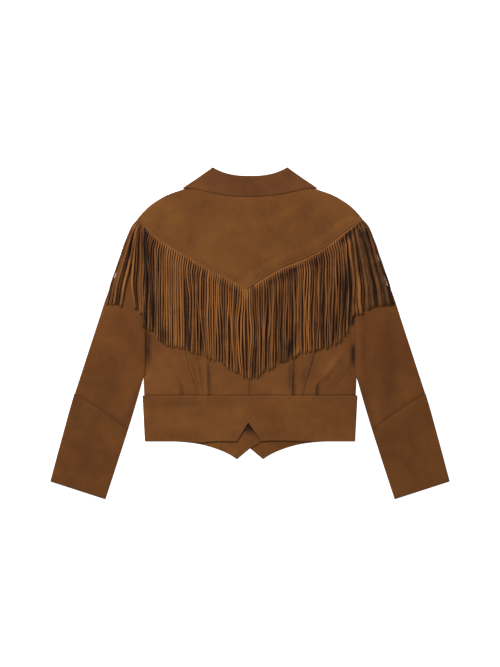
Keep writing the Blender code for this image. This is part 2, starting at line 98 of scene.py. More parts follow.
# The cloth's layers and the seams between pieces.
SEAM_GAP = 0.3
HALF_GAP = SEAM_GAP / 2
FRONT_TOP = 1.5
OVERLAP_LIFT = FRONT_TOP + 2 * SEAM_GAP
FOLD_FOOT = FRONT_TOP + 3 * SEAM_GAP
BACK_TOP = 6.7
SLEEVE_TOP = BACK_TOP
CUFF_TOP = 7.2
BAND_TOP = 7.4
BAND_LIFT = 2.1 + SEAM_GAP
EDGE_ROLL = 7.0
CENTRE_BACK_X = -1.0
SIDE_X = 222.0
WAIST_Y = -130.0
WAIST_SEAM_Y = WAIST_Y + HALF_GAP
BAND_SEAM_Y = WAIST_Y - HALF_GAP
UNDERARM_Y = 30.0
FRONT_LAP = 22.0
BAND_SIDE_X = 224.4
ARMHOLE_GAP = 0.9
YOKE_TIP_X = 236.3
YOKE_END_X = 233.2
TUCKED_UNDER_YOKE = 6.0
COLLAR_CORE_Z = 4.3
STAND_OFFSET = 0.5
LEAF_OFFSET = 4.3
NECK_HALF_X = 84.0
QUARTER_TURN = math.pi / 2

# The yoke's lower edge, a bowed V, from the armhole tips to its point.
YOKE_EDGE_LEFT = table_of(Point,
    (-236.2, 240.2), (-215.5, 220.1), (-191.3, 197.2), (-167.2, 182.7), (-135.9, 164.6),
    (-101.6, 143.2), (-60.9, 124), (-6.3, 92.4),
)
YOKE_EDGE_RIGHT = table_of(Point,
    (-6.3, 92.4), (24.8, 114), (67.6, 138.4), (121.4, 160.4), (153.3, 178.4), (194.3, 210.4),
    (236.2, 240.2),
)
# The neck and shoulder line of the back, from the centre to the sleeve head.
SHOULDER = table_of(Point,
    (0, 307.6), (30, 309), (60, 314.2), (84, 321), (100, 316.5), (120, 310.2), (138.6, 303.5),
    (165, 294.6), (178.5, 288.8), (193.8, 280.4), (207.9, 270.8), (220.5, 259.6), (228, 251.5),
    (236.2, 241.5),
)
# The neckline of a front, from past the centre line out to the shoulder.
FRONT_NECK = table_of(Point,
    (-22, 222), (4, 227), (36, 252.5), (56, 277), (84, 320.5), (100, 316.5),
)
# The side of the body: the armhole above the underarm and the side seam below it.
BODY_SIDE = table_of(Point,
    (235.8, 239.4), (231.4, 222), (226.2, 192), (222.2, 150), (220.6, 104), (220.8, 58),
    (SIDE_X, UNDERARM_Y), (SIDE_X, -70), (SIDE_X + 1.6, -97), (SIDE_X + 0.6, WAIST_Y),
)
# The princess seam, and the folds of the long and the small tuck, up from the waist.
PRINCESS = table_of(Point,
    (111, -130), (117, -106), (123.5, -85), (131, -62), (135.5, -40), (146, 60), (152, 180),
)
LONG_TUCK = table_of(Point,
    (87.6, -130), (88.4, -91), (89.7, -56), (92, 180),
)
SMALL_TUCK = table_of(Point,
    (137.6, -130), (138.4, -112), (145.2, -99), (165, 30), (180, 200),
)
LONG_TUCK_TOP_Y = 10.0
SMALL_TUCK_TOP_Y = -90.0
# A tuck across its fold: a lip that stands up and the trough beside it.
TUCK_PROFILE = table_of(Tuck,
    (-9, 0), (-2.5, 0.3), (0, 0.3), (2.8, -1.6), (12, 0),
)
# How deep each half's tucks and princess seam lie.
TUCKS = {-1: TuckDepths(1.3, 1.3, 0.1), 1: TuckDepths(2.1, 1.7, 0.6)}

# Sleeve sections from the head to the cuff; a section runs from the sleeve's outer
# fold to its inner one.
UPPER_SLEEVE = table_of(Section,
    (239.4, 236.9, 236.3), (245.4, 230.4, 229.4), (252.4, 216, 216), (261.5, 192, 192),
    (277, 150, 150), (291.4, 110, 104), (304.5, 70.4, 58), (309.4, 55.5, 43), (314, 41, 30),
    (323.5, 11.5, -5), (336, -27, -47), (347.7, -64, -89.5), (357.4, -95, -143),
    (366.7, -125.2, -202.9),
)
LOWER_SLEEVE = table_of(Section,
    (369.2, -125.8, -203.6), (379.4, -160, -228), (391.6, -205, -262), (406, -258, -304),
    (420, -310.8, -348.5),
)
# The sleeve's inner fold, from the elbow to the hem of the cuff.
INNER_FOLD = table_of(Point,
    (223.4, -89.5), (231.2, -118), (251.2, -186), (274.8, -260), (303.7, -348.5),
)
ELBOW = INNER_FOLD[0]
# How far a sleeve's outer fold lies inside its sections: most beside the strands that hang
# over it, and a little outside them above the cuff.
SLEEVE_INSET = {
    -1: table_of(Inset,
        (-125, -1.3), (-60, -0.4), (30, 0), (64, 0), (84, 0.5), (114, 2), (122, 5.8), (131, 2.2),
        (143, 2.4), (151, 6.4), (159, 2.4), (169, 2.4), (177, 6), (185, 1.2), (195, 0), (240, 0),
    ),
    1: table_of(Inset,
        (-125, -1.5), (-60, -0.4), (30, 0), (64, 0), (90, 0.6), (99, 5.2), (111, 6.2), (122, 5),
        (131, 2), (144, 2), (151, 4.4), (161, 5.4), (171, 4.2), (179, 0.8), (188, 0), (240, 0),
    ),
}
# How far the seam between a sleeve and its cuff bows up in the middle, and its reach.
CUFF_SEAM_BOW = {-1: 3.6, 1: 2.6}
CUFF_BOW_REACH = 70.0

# The front's hem along the waistband: straight from the side, then down to a point.
FRONT_HEM = table_of(Point,
    (-24, -226.4), (-0.6, -241.1), (27.4, -264.6), (42.4, -255), (62.4, -245.7), (82.5, -238.8),
    (105, -233), (134.4, -228.9), (168, -227), (224.4, -227),
)
# The back's hem with its notch at the centre.
BACK_HEM = table_of(Point,
    (-224.4, -227), (-185, -227), (-145, -227), (-125, -228.4), (-105, -229.6), (-88, -227.6),
    (-66, -226.2), (-27.3, -227), (-15.2, -207), (-3.2, -187.5), (10.2, -207), (23.5, -226.6),
    (44, -225.2), (74, -225.2), (105, -226.4), (145, -227), (185, -227), (224.4, -227),
)
# Where the strands end, from the centre outwards.
FRINGE_ENDS = table_of(Point,
    (0, -95), (12, -92.5), (22, -84), (36, -78), (50, -70), (60, -62), (82, -55), (107, -42),
    (145, -33), (187, -19), (203, 4), (220, 14), (236, 40), (270, 56), (302, 61),
)
# The outer edge of the fringe, down from the yoke's tip.
FAN_OUTLINE = table_of(Point,
    (238, 240.2), (243.6, 234), (248.8, 226), (253, 217.3), (259.2, 200.5), (265.7, 183.7),
    (270.9, 166.9), (277.2, 150), (283, 133.3), (289.7, 116.5), (295.8, 99.8), (300.3, 83),
    (304.9, 66), (314.5, 40),
)

# The collar's lines, from the neck seam up the stand, over the fold and down the leaf.
NECK_SEAM = CollarRow(308.3, 83.0, 322.5, 34.0, 255.0, 2.0, 0.0)
FOLD_LINE = CollarRow(331.4, 77.4, 349.0, 38.0, 270.0, 2.6, 0.0)
LEAF_MIDDLE = CollarRow(309.0, 105.2, 327.6, 58.0, 246.0, 2.8, 1.6)
LEAF_EDGE = CollarRow(288.0, 138.6, 305.0, 80.0, 221.0, 3.0, 3.5)
LEAF_SHARES = (0.17, 0.33, 0.47, 0.6, 0.7, 0.78, 0.84, 0.89, 0.93, 0.96, 0.98, 0.992, 1.0)
LEAF_STITCH_SHARE = 0.84
LEAF_EDGE_LIFT = 0.3

# The suede's grain as pattern repeats in a metre, and how strongly each part of it shows.
CLOUD_SCALE = 9.0
PATCH_SCALE = 42.0
NAP_SCALE = 320.0
PILE_SCALE = 1500.0
PATCH_STRENGTH = 0.44
NAP_STRENGTH = 0.26
PILE_STRENGTH = 0.12
CLOUDS_FROM, CLOUDS_TO = 0.36, 0.64
DUSKY = (0.86, 0.84, 0.88)
PALE = (1.09, 1.12, 1.08)
# The colour that the grain and the painted shade darken the suede towards, and the least brightness kept.
DEEP_TONE = (0.012, 0.0065, 0.006)
DEEPEST = 0.04
SHEEN_TINT = (1.0, 0.72, 0.42, 1.0)
THREAD_TWIST = 900.0
THREAD_SHADES = (0.75, 1.15)

# Seams and edges, as distances from the edge or seam they follow.
TOPSTITCH_OFFSET = 3.4
STITCH_INSET = 6.2
HEM_STITCH = 4.2
BAND_TOP_STITCH = 3.6
CUFF_STITCH = 4.2
CUFF_HEM_STITCH = 6.0
LEAF_STITCH = 3.4
STITCH_LENGTH = 2.5
STITCH_SPACE = 0.9
STITCH_WIDTH = 0.62
# What seams and rows of stitches sink into the back.
PRINCESS_WIDTH = 1.5
STITCH_GROOVE = Groove(0.3, 0.8)
CENTRE_GROOVE = Groove(0.2, 1.1)
WAIST_GROOVE = Groove(1.3, 1.6)

# Grid steps.
BACK_COLUMNS = 42
TURN_COLUMNS = 12
FRONT_COLUMNS = 20
BACK_ROWS = 84
FOLD_STEPS = 5
SLEEVE_TOP_STEPS = 34
SLEEVE_FOOT_STEPS = 12
SLEEVE_ROWS = 84
CUFF_ROWS = 64
BAND_ROWS = 34
STAND_ROWS = 6
FOLD_ROWS = 12
LEAF_ROWS = 4
HEADER_ROWS = 3
STRAND_ROWS = 26

# The yoke's turned edge with a painted highlight along it, the run its slope is read over, and the rows
# closest above it.
PAINTED_RIDGE_HIGHLIGHT = 0.07
EDGE_RIDGE = 3.1
EDGE_RIDGE_AT_TIP = 1.8
RIDGE_FADE = 30.0
RISE_RUN = 4.0
YOKE_EDGE_ROWS = (
    0.0, 0.4, 0.9, 1.6, 2.8, 4.2, 5.2, 5.7, 6.2, 6.7, 7.3, 8.6, 11.0, 14.0, 17.5, 21.0, 25.0, 30.0,
)

# Where the back is let in under its neighbours.
ALLOWANCE = 3.0
ALLOWANCE_DEPTH = 2.0
WAIST_ALLOWANCE = 3.0
WAIST_ALLOWANCE_DEPTH = 2.6

# The waistband: its corners, its notch and the front half that shows below the hem.
HEM_POINT_X = 27.4
BAND_TAPER = 3.2
BAND_FLARE = 1.7
NOTCH = Point(-3.2, -187.5)
NOTCH_SHADE = 0.95
FRONT_TAIL_LIFT = 2.9
FRONT_BAND_SEAM_X = 63.0
FRONT_BAND_SEAM_LIFT = 0.5

# The sleeve's inner fold over the body's side, and the tail that runs on inside the cuff.
OVERLAP_WIDTH = 3.4
OVERLAP_REACH = 18.0
SIDE_SINK = 3.0
PRESSED_FOLD = 4.9
PRESSED_SHARE = 0.36
ARMHOLE_TUCK = 3.0
ARMHOLE_TUCK_REACH = 5.0
ARMHOLE_SINK = 2.1
TAIL_ROWS = 4
TAIL_LENGTH = 5.0
TAIL_INSET = 2.2
TAIL_LOW = 1.9
TAIL_HIGH = 5.3
# Painted shade on the tail, inside the cuff.
TAIL_PAINTED_SHADE = -0.3

# Fringe.
STRAND_WIDTH = 4.1
STRAND_WALL = 1.2
STRAND_CROWN = 0.4
STRIP_TOP = 8.1
TUCKED_STRIP = 2.6
TUCKED_AT_TIP = 1.4
HEADER_DROP = {-1: 1.8, 1: 4.6}
HEADER_DROP_AT_TIP = 0.6
FIRST_STRAND_OFFSET = 2.4
STRAND_PITCH = 4.75
FAN_PITCH = 3.6
LEVEL_STEP = 1.9
LEVELS = (0.1, 1.9, 1.0, 0.3, 1.7, 1.1, 2.0, 0.0, 1.4)
CLUMP_SIZES = (2, 3, 3, 4)
CLUMP_PULL = 0.34
CLUMP_SWAY = 8.0
STRAND_SWAY = 4.2
FRINGE_SEED = {-1: 11, 1: 23}
FAN_ROOT = 2.0
FAN_ROOT_TONE = {-1: 0.14, 1: 0.04}
FAN_SWAY = {-1: 0.4, 1: 1.1}
FAN_CALM = 0.55
LAST_STRAND_CALM = 0.95
# Painted shade on the suede under the strands, and how far down it goes beside the body.
SHADE_UNDER_FRINGE = 0.66
SHADE_UNDER_FAN = {-1: 0.5, 1: 0.58}
FAN_SHADE_END = {-1: 128.0, 1: 74.0}
# How much painted shade darkens a strand's edges against its middle, and how patchy it is, on each side.
STRAND_EDGE_SHADE = {-1: 0.28, 1: 0.14}
FAN_EDGE_SHADE = 0.13
STRAND_PATCHES = {-1: 0.55, 1: 0.34}
# Painted shade on strands that lie low.
LOW_STRAND_SHADE = 0.22

# How the strands hang from the yoke's point outwards: how calmly, how light, partly as
# painted light and shade on bunches, and how much of the strip between two of them is cut away at the top.
BUNCHES = {
    -1: table_of(Bunch,
        (0, 0.3, 0.16, 0.16), (14, 0.2, 0.12, 0.2), (22, 0.1, 0, 0.2), (40, 0.2, 0.1, 0.2),
        (52, 0.3, -0.06, 0.16), (62, 0.7, 0.14, 0.14), (80, 0.8, 0.18, 0.14), (89, 0.2, -0.16, 0.2),
        (103, 0.2, -0.08, 0.24), (111, 0.4, 0.16, 0.2), (120, 0.3, -0.08, 0.24),
        (132, 0.1, -0.26, 0.3), (141, 0.8, 0.08, 0.18), (160, 0.95, 0.14, 0.18),
        (179, 0.8, 0.12, 0.18), (188, 0.2, 0.04, 0.26), (195, 0.1, -0.26, 0.3),
        (222, 0.2, -0.24, 0.3),
    ),
    1: table_of(Bunch,
        (0, 0.3, 0.05, 0.1), (9, 0.1, -0.19, 0.1), (20, 0.2, -0.07, 0.2), (31, 0.3, 0.05, 0.2),
        (46, 0.3, -0.05, 0.26), (57, 0.2, -0.33, 0.4), (76, 0.3, -0.37, 0.4), (90, 0.2, -0.19, 0.2),
        (98, 0.6, 0.03, 0.1), (116, 0.6, 0.05, 0.3), (128, 0.2, -0.05, 0.4),
        (136, 0.1, -0.29, 0.45), (158, 0.2, -0.19, 0.45), (170, 0.2, -0.05, 0.1),
        (184, 0.1, -0.05, 0.2), (200, 0.1, -0.17, 0.4), (222, 0.3, -0.15, 0.3),
    ),
}
# The strands that fan out over each sleeve, up to the yoke's tip.
FAN = {
    -1: table_of(FanStrand,
        (221.2, 218.4, 219.4, 12, 4.3, 0.4, -0.42), (223.2, 224.6, 227.2, 41, 4.4, 1.3, -0.22),
        (225.4, 230, 231.4, 42, 4.8, 2, -0.3), (227.4, 239.4, 236.8, 49, 4.4, 0.2, -0.42),
        (229.2, 246, 240.8, 51.5, 5, 1.1, -0.2), (230.8, 254.6, 271.6, 56, 5.2, 1.7, -0.28),
        (232.2, 261.4, 279.4, 60, 5.6, 0, -0.52), (233.4, 266.2, 287, 61, 5.6, 1.5, -0.26),
        (234.5, 270.6, 293.4, 61.5, 5.8, 0.6, -0.36), (235.4, 275.2, 300, 61, 4.2, 1.3, -0.3),
    ),
    1: table_of(FanStrand,
        (200.4, 205, 209.8, 21, 4.2, 0.2, -0.41), (204.8, 213.6, 215.4, 37, 6.4, 1.9, -0.45),
        (209.2, 219.8, 225.4, 39.5, 6.6, 1.2, -0.59), (213.4, 226, 233.8, 41, 7.2, 2, -0.35),
        (217.2, 232.8, 240.8, 47, 4, 0.4, -0.61), (220.6, 236.4, 247, 50, 8, 1.9, -0.51),
        (223.8, 242, 253.4, 54, 7.6, 1.3, -0.65), (226.6, 246, 261, 55.5, 8.4, 1.7, -0.57),
        (229, 250.6, 266.8, 56.5, 4.6, 0.2, -0.85), (231.2, 255.4, 276.2, 57.5, 9, 1.7, -0.55),
        (232.8, 261.4, 283.6, 58, 8, 1.1, -0.69), (234.2, 268.4, 292, 58.5, 8.4, 1.5, -0.61),
        (235.3, 274.8, 300.2, 60, 5, 0.9, -0.71),
    ),
}

BACK_CREASES = table_of(Crease,
    (-214, 20, -207, -84, 9, -1.9), (-111, -47, -98.7, -114, 4, 0.8),
    (-127, -55, -107, -123, 3.6, 0.8), (-119, -62, -108, -104, 3, -0.6),
    (-131, -50, -113, -122, 2.6, -0.5), (-206, -8, -196, -90, 16, 0.8),
    (220, -16, 219, -70, 4.5, -3.4), (150, -104, 214, -20, 12, 1.7), (168, -112, 219, -52, 12, -1),
    (-128, -50, -112, -120, 9, -0.8), (-97, -56, -98, -126, 8, 0.7), (72, -60, 76, -126, 9, 0.6),
    (-176, -70, -150, -126, 12, 0.7), (100, -56, 97, -124, 8, -0.6),
)
# Where the nap is brushed lighter or darker, and where painted shade and painted highlights stand for
# shadows and light, the height standing for the change of tone.
NAP_AND_PAINTED_SHADE = table_of(Crease,
    (-176, 268, -194, 190, 20, -0.18), (172, 244, 134, 176, 18, -0.17),
    (-55, 256, -55, 190, 14, -0.09), (54, 290, 36, 186, 18, -0.08), (0, 256, 2, 170, 18, 0.07),
    (240, 246, 208, 278, 10, -0.16), (-136, 310, -66, 295, 9, 0.16), (-40, 331, 46, 331, 6, -0.24),
    (68, 352, 90, 320, 10, -0.16), (-300, 0, -288, -160, 22, -0.13),
    (-378, -140, -352, -212, 16, -0.2), (-226, -96, -262, -200, 9, -0.24),
    (-302, 78, -322, 18, 8, 0.13), (294, 72, 290, -90, 16, -0.14), (294, -54, 300, -156, 14, -0.2),
    (256, 62, 258, -80, 12, 0.12), (230, -96, 264, -216, 9, -0.28),
    (309, -212, 321, -300, 16, 0.09), (-216, 26, -212, -84, 6.5, -0.52),
    (-218, -20, -215, -78, 6, -0.2), (-232, 44, -233, -104, 11, 0.12),
    (225.4, 91, 231.4, -140, 5.5, 0.17), (239, 30, 241, -100, 7, -0.08),
    (-300, -70, -330, -230, 44, -0.09), (290, -60, 300, -190, 26, -0.08),
    (-204, 10, -192, -56, 12, -0.16), (218.4, -12, 216, -78, 4.4, -0.95),
    (132, -16, 222, 6, 14, -0.34), (147, -28, 112, -126, 13, -0.22), (214, -26, 148, -122, 6, 0.13),
    (-115, -38, -112, -72, 6, -0.24), (-110, -56, -104, -134, 8, -0.14),
    (-89.6, -48, -88.4, -148, 1.9, -0.4), (-52, -72, -52, -132, 14, -0.08),
    (85, -44, 83.5, -142, 5, -0.42), (94, -50, 93, -140, 3.4, 0.14),
    (-200, -146, -72, -142, 10, -0.17), (-158, -192, -72, -182, 10, 0.08),
    (131, -124, 117, -216, 26, -0.14), (196, -140, 203, -224, 12, 0.14),
    (-283, -90, -282, -172, 16, -0.12), (286, -80, 284, -170, 14, -0.1),
    (56, -217, 96, -217, 7, 0.12), (-120, -134, -24, -134, 6, 0.12), (40, -126, 110, -126, 6, 0.1),
    (-112, -36, -98, -134, 2, -0.2), (-117, -36, -103, -134, 1.8, 0.16),
    (-127, -44, -106, -134, 2, -0.17), (-132, -44, -111, -134, 1.8, 0.14),
    (-96, -50, -93, -134, 2.4, 0.14), (210, -30, 136, -128, 4, -0.24),
    (202, -22, 128, -120, 4, 0.14), (222, -56, 166, -126, 4, -0.16),
    (119, -44, 104, -136, 1.6, -0.16),
)
# Painted light and shade on bunches of strands, the height standing for the change of tone.
FRINGE_PAINTED_LIGHT_AND_SHADE = table_of(Crease,
    (-240, 244, -250, 60, 9, 0.4), (-222, 224, -214, 120, 8, -0.5), (-216, 150, -204, 40, 8, -0.5),
    (-212, 80, -188, -24, 9, -0.5), (-153, 184, -149, 44, 10, 0.2), (-133, 180, -132, 26, 6, 0.34),
    (-113, 172, -113, 70, 6, -0.4), (-115, 24, -115, -60, 6, -0.42), (-86, 180, -86, -40, 6, 0.24),
    (-59, 40, -59, -74, 8, -0.32), (-45, 90, -43, -88, 5, 0.42), (-11, 110, -11, -80, 7, 0.6),
    (40, 136, 38, 20, 9, -0.45), (36, 0, 38, -84, 7, -0.48), (10, 92, 170, 174, 9, -0.3),
    (141, 176, 147, 88, 9, -0.35), (82, -54, 104, 40, 8, -0.4), (126, 104, 128, -28, 8, 0.28),
    (175, 52, 184, -30, 8, -0.38), (191, 152, 201, -8, 7, -0.8), (206, 214, 214, 104, 6, 0.42),
    (228, 140, 234, 10, 7, 0.36), (222, 70, 221, 20, 5, 0.4), (205, 168, 213, 30, 5, -0.8),
    (174, 180, 228, 226, 6, -0.5), (180, 176, 182, 84, 5, 0.3), (238, 240, 254, 136, 7, -0.42),
    (286, 160, 299, 88, 7, -0.2), (-290, 130, -302, 56, 6, -0.3),
    (-246, 232, -252, 140, 2.8, -0.75), (-239, 140, -232, 14, 8, -0.12),
    (-78, 100, -73, -40, 8, 0.3), (-100, 128, 8, 66, 6, -0.24), (60, 152, 68, 76, 6, 0.36),
    (91, 156, 97, 86, 6, -0.4), (-113, 100, -115, 10, 6, -0.26), (-62, 10, -62, -80, 7, -0.22),
    (0, 0, 0, -106, 6, -0.26), (76, -6, 78, -82, 9, -0.34), (-180, 20, -172, -36, 9, -0.42),
    (32, 110, 36, 0, 9, -0.2), (146, 84, 155, -44, 7, -0.32), (-190, 204, -188, 106, 6, -0.24),
)
YOKE_CREASES = table_of(Crease,
    (20, 262, 96, 176, 26, -0.9), (-60, 250, -10, 150, 30, 0.8), (-150, 262, -70, 180, 28, -0.7),
    (130, 270, 190, 232, 22, 0.8),
)
BAND_CREASES = table_of(Crease,
    (-150, -150, -60, -190, 20, 0.7), (-8, -140, 6, -182, 14, 0.6), (40, -206, 150, -160, 24, -0.7),
    (-210, -150, -190, -214, 12, -0.5), (196, -146, 208, -214, 12, 0.6),
)
COLLAR_CREASES = table_of(Crease,
    (-10, 322, 8, 308, 5, -0.5), (-70, 338, -30, 306, 14, 0.5), (84, 336, 96, 304, 12, -0.4),
)
SLEEVE_CREASES = {
    -1: table_of(Crease,
        (-262, 30, -318, -150, 20, 0.9), (-240, 10, -262, -120, 14, -0.9),
        (-320, -60, -280, -160, 22, -0.7), (-330, -230, -380, -320, 26, 0.8),
        (-352, -180, -345, -300, 16, -0.6),
    ),
    1: table_of(Crease,
        (258, 40, 300, -140, 18, 0.9), (236, 20, 252, -110, 10, -1.1),
        (290, 10, 345, -120, 16, -0.8), (330, -220, 372, -320, 24, 0.8),
        (366, -190, 356, -300, 14, -0.6),
    ),
}

# Each kind of piece: its colour and its wall in the settings, the grain's seed, the flat cut
# of what shows in metres and square metres, all round on a tube, how it lies, and the kinds
# of piece that it lies on.
UNDER_YOKE = ("fringe", "back", "side_back")
UNDER_FRINGE = ("back", "side_back", "sleeve")
CLOTHS = {
    "yoke": Cloth("yoke_suede", "cloth_wall", 1, 0.472, 0.232, 0.0662, "laid", UNDER_YOKE),
    "collar": Cloth("collar_suede", "collar_wall", 2, 0.504, 0.075, 0.0304, "folded", ("yoke", "front")),
    "back": Cloth("back_suede", "cloth_wall", 3, 0.152, 0.314, 0.0366, "laid", ("front",)),
    "side_back": Cloth("side_suede", "cloth_wall", 5, 0.122, 0.365, 0.0283, "laid", ("front",)),
    "front": Cloth("front_suede", "cloth_wall", 8, 0.258, 0.451, 0.1003, "laid", ()),
    "sleeve": Cloth("sleeve_suede", "sleeve_wall", 11, 0.270, 0.440, 0.0755, "laid", ()),
    "cuff": Cloth("cuff_suede", "sleeve_wall", 14, 0.270, 0.195, 0.0446, "laid", ()),
    "waistband": Cloth("band_suede", "band_wall", 17, 0.960, 0.134, 0.0959, "folded", ()),
    "fringe": Cloth("fringe_suede", "strand_wall", 20, 0.282, 0.222, 0.0471, "laid", UNDER_FRINGE),
}
NO_SIDE = ("yoke", "collar", "waistband")

# Studio.
FRAME_HEIGHT = 1.4007
CAMERA_HEIGHT = 3.5
SENSOR = 36.0
FLOOR_REACH = 6.0
FLOOR_GREY = (0.9, 0.9, 0.9, 1.0)
FLOOR_GLOW = 0.9
WHITE = (1.0, 1.0, 1.0, 1.0)
ROOM_LIGHT = 0.36
ROOM_COLOUR = (0.93, 0.97, 1.08, 1.0)
LIGHTS = (
    Light("key", (-1.45, 1.6, 2.2), 1.0, 80.0),
    Light("fill", (1.7, -0.9, 2.0), 1.8, 9.0),
)


class Curve:
    """A smooth line through a table's points, read as one column against another."""

    def __init__(self, table, across="x", value="y"):
        rows = sorted(table, key=lambda row: getattr(row, across))
        self.across = [getattr(row, across) for row in rows]
        self.value = [getattr(row, value) for row in rows]
        self.slope = [self.slope_at(index) for index in range(len(rows))]

    def chord(self, index):
        rise = self.value[index + 1] - self.value[index]
        return rise / (self.across[index + 1] - self.across[index])

    def slope_at(self, index):
        """The slope at a row, level where the line turns back, so that it never overshoots."""
        last = len(self.across) - 1
        if index in (0, last):
            return self.chord(min(index, last - 1))
        before, after = self.chord(index - 1), self.chord(index)
        return 2 * before * after / (before + after) if before * after > 0 else 0.0

    def __call__(self, place):
        place = min(max(place, self.across[0]), self.across[-1])
        index = 0
        while index < len(self.across) - 2 and place > self.across[index + 1]:
            index += 1
        run = self.across[index + 1] - self.across[index]
        t = (place - self.across[index]) / run
        start = self.value[index] * (1 + 2 * t) * (1 - t) ** 2
        end = self.value[index + 1] * t * t * (3 - 2 * t)
        leaving = self.slope[index] * run * t * (1 - t) ** 2
        arriving = self.slope[index + 1] * run * t * t * (t - 1)
        return start + end + leaving + arriving


yoke_edge_left, yoke_edge_right = Curve(YOKE_EDGE_LEFT), Curve(YOKE_EDGE_RIGHT)
shoulder, front_neck, fringe_ends = Curve(SHOULDER), Curve(FRONT_NECK), Curve(FRINGE_ENDS)
front_hem_outer = Curve([row for row in FRONT_HEM if row.x >= HEM_POINT_X])
tuck_profile = Curve(TUCK_PROFILE, "x", "height")
body_side, princess, long_tuck, small_tuck, fan_outline, inner_fold = (
    Curve(table, "y", "x")
    for table in (BODY_SIDE, PRINCESS, LONG_TUCK, SMALL_TUCK, FAN_OUTLINE, INNER_FOLD)
)
sleeve_inset = {side: Curve(rows, "y", "inset") for side, rows in SLEEVE_INSET.items()}
strand_calm, strand_tone, strand_slot = (
    {side: Curve(rows, "x", value) for side, rows in BUNCHES.items()}
    for value in ("calm", "tone", "slot")
)


def mix(start, end, share):
    return start + (end - start) * share


def ease(start, end, place):
    """0 at start, 1 at end, and smooth between them, whichever is the larger."""
    share = min(max((place - start) / (end - start), 0.0), 1.0)
    return share * share * (3 - 2 * share)


def hollow(distance, width):
    """A soft trough's depth, 1 at its line and fading to nothing beside it."""
    return math.exp(-((distance / width) ** 2))


def sunk(groove, distance):
    """How far a groove has sunk the cloth at a distance from its line."""
    return groove.depth * hollow(distance, groove.width)


def drift(x, y, z):
    """Smooth noise, from about -1 to 1."""
    return noise.noise(Vector((x, y, z)))


def waves(x, y, length, seed):
    """Gentle unevenness from -1 to 1, about as long as length."""
    return drift(x / length, y / length, seed)


def relief(creases, x, y):
    """How far a table of creases lifts or sinks the cloth at a point."""
    height = 0.0
    for crease in creases:
        along_x, along_y = crease.to_x - crease.x, crease.to_y - crease.y
        length = math.hypot(along_x, along_y)
        share = ((x - crease.x) * along_x + (y - crease.y) * along_y) / length ** 2
        if -0.05 < share < 1.05:
            off = ((x - crease.x) * along_y - (y - crease.y) * along_x) / length
            fade = ease(0.0, 0.3, share) * ease(1.0, 0.55, share)
            height += crease.height * fade * hollow(off, crease.width)
    return height


def yoke_edge(x):
    """The height up the back of the yoke's lower edge at a place across it."""
    return yoke_edge_left(x) if x < YOKE_EDGE_RIGHT[0].x else yoke_edge_right(x)


def yoke_rise(side, x):
    """How far the yoke's edge rises over a short run about a place across it."""
    return yoke_edge(side * (x + RISE_RUN / 2)) - yoke_edge(side * (x - RISE_RUN / 2))


# Materials.


def feed(tree, node, inputs):
    """Give a node's inputs their values, or link them to other nodes' outputs."""
    for key, value in inputs.items():
        if isinstance(value, bpy.types.NodeSocket):
            tree.links.new(value, node.inputs[key])
        else:
            node.inputs[key].default_value = value


def add_node(tree, kind, inputs, **settings):
    """A new node, with its settings made before its inputs."""
    node = tree.nodes.new(kind)
    for key, value in settings.items():
        setattr(node, key, value)
    feed(tree, node, inputs)
    return node


def new_material(name):
    """A new material, its node tree and its shader."""
    material = bpy.data.materials.new(name)
    material.use_nodes = True
    return material, material.node_tree, material.node_tree.nodes["Principled BSDF"]


def tinted(colour, tint):
    """A colour with each of its parts made stronger or weaker."""
    return (*(part * share for part, share in zip(colour, tint)), 1.0)


def suede(name, colour, seed):
    """Napped suede: brushed clouds, a fine nap and a short pile, made darker or lighter by the piece's
    tone, which holds darker seams and painted light and shade.
    """
    material, tree, shader = new_material(name)
    place = add_node(tree, "ShaderNodeMapping", {
        "Vector": add_node(tree, "ShaderNodeTexCoord", {}).outputs["Object"],
        "Location": (seed * 0.37, seed * 0.61, seed * 0.13),
    }).outputs["Vector"]

    def grain(scale, detail, distortion=0.0):
        inputs = {"Vector": place, "Scale": scale, "Detail": detail, "Distortion": distortion}
        return add_node(tree, "ShaderNodeTexNoise", inputs).outputs["Fac"]

    def combine(operation, *values):
        inputs = dict(enumerate(values))
        return add_node(tree, "ShaderNodeMath", inputs, operation=operation).outputs[0]

    clouds = grain(CLOUD_SCALE, 3.0, 0.5)
    patches = grain(PATCH_SCALE, 3.0, 0.3)
    nap = grain(NAP_SCALE, 3.0)
    pile = grain(PILE_SCALE, 2.0)
    # The piece's tone: darker seams and the painted light and shade laid into it.
    tone = add_node(tree, "ShaderNodeAttribute", {}, attribute_name="tone").outputs["Fac"]

    brushed = {"Value": clouds, "From Min": CLOUDS_FROM, "From Max": CLOUDS_TO}
    hue = add_node(tree, "ShaderNodeMix", {
        "Factor": add_node(tree, "ShaderNodeMapRange", brushed).outputs["Result"],
        "A": tinted(colour, DUSKY),
        "B": tinted(colour, PALE),
    }, data_type="RGBA").outputs["Result"]

    bright = 1.0
    grains = ((patches, PATCH_STRENGTH), (nap, NAP_STRENGTH), (pile, PILE_STRENGTH))
    for pattern, strength in grains:
        bright = combine("MULTIPLY_ADD", pattern, strength, bright)
        bright = combine("SUBTRACT", bright, strength / 2)
    bright = combine("MAXIMUM", combine("ADD", bright, tone), DEEPEST)
    shade = add_node(
        tree, "ShaderNodeMix", {"Factor": bright, "A": (*DEEP_TONE, 1.0), "B": hue},
        data_type="RGBA", clamp_factor=False,
    )

    soft = {"Strength": 0.5, "Distance": 0.0012, "Height": patches}
    fine = {
        "Strength": 0.4,
        "Distance": 0.0004,
        "Height": combine("ADD", nap, pile),
        "Normal": add_node(tree, "ShaderNodeBump", soft).outputs["Normal"],
    }
    feed(tree, shader, {
        "Base Color": shade.outputs["Result"],
        "Roughness": combine("MULTIPLY_ADD", nap, 0.14, 0.84),
        "Normal": add_node(tree, "ShaderNodeBump", fine).outputs["Normal"],
        "Specular IOR Level": 0.1,
        "Sheen Weight": 0.1,
        "Sheen Roughness": 0.45,
        "Sheen Tint": SHEEN_TINT,
    })
    return material


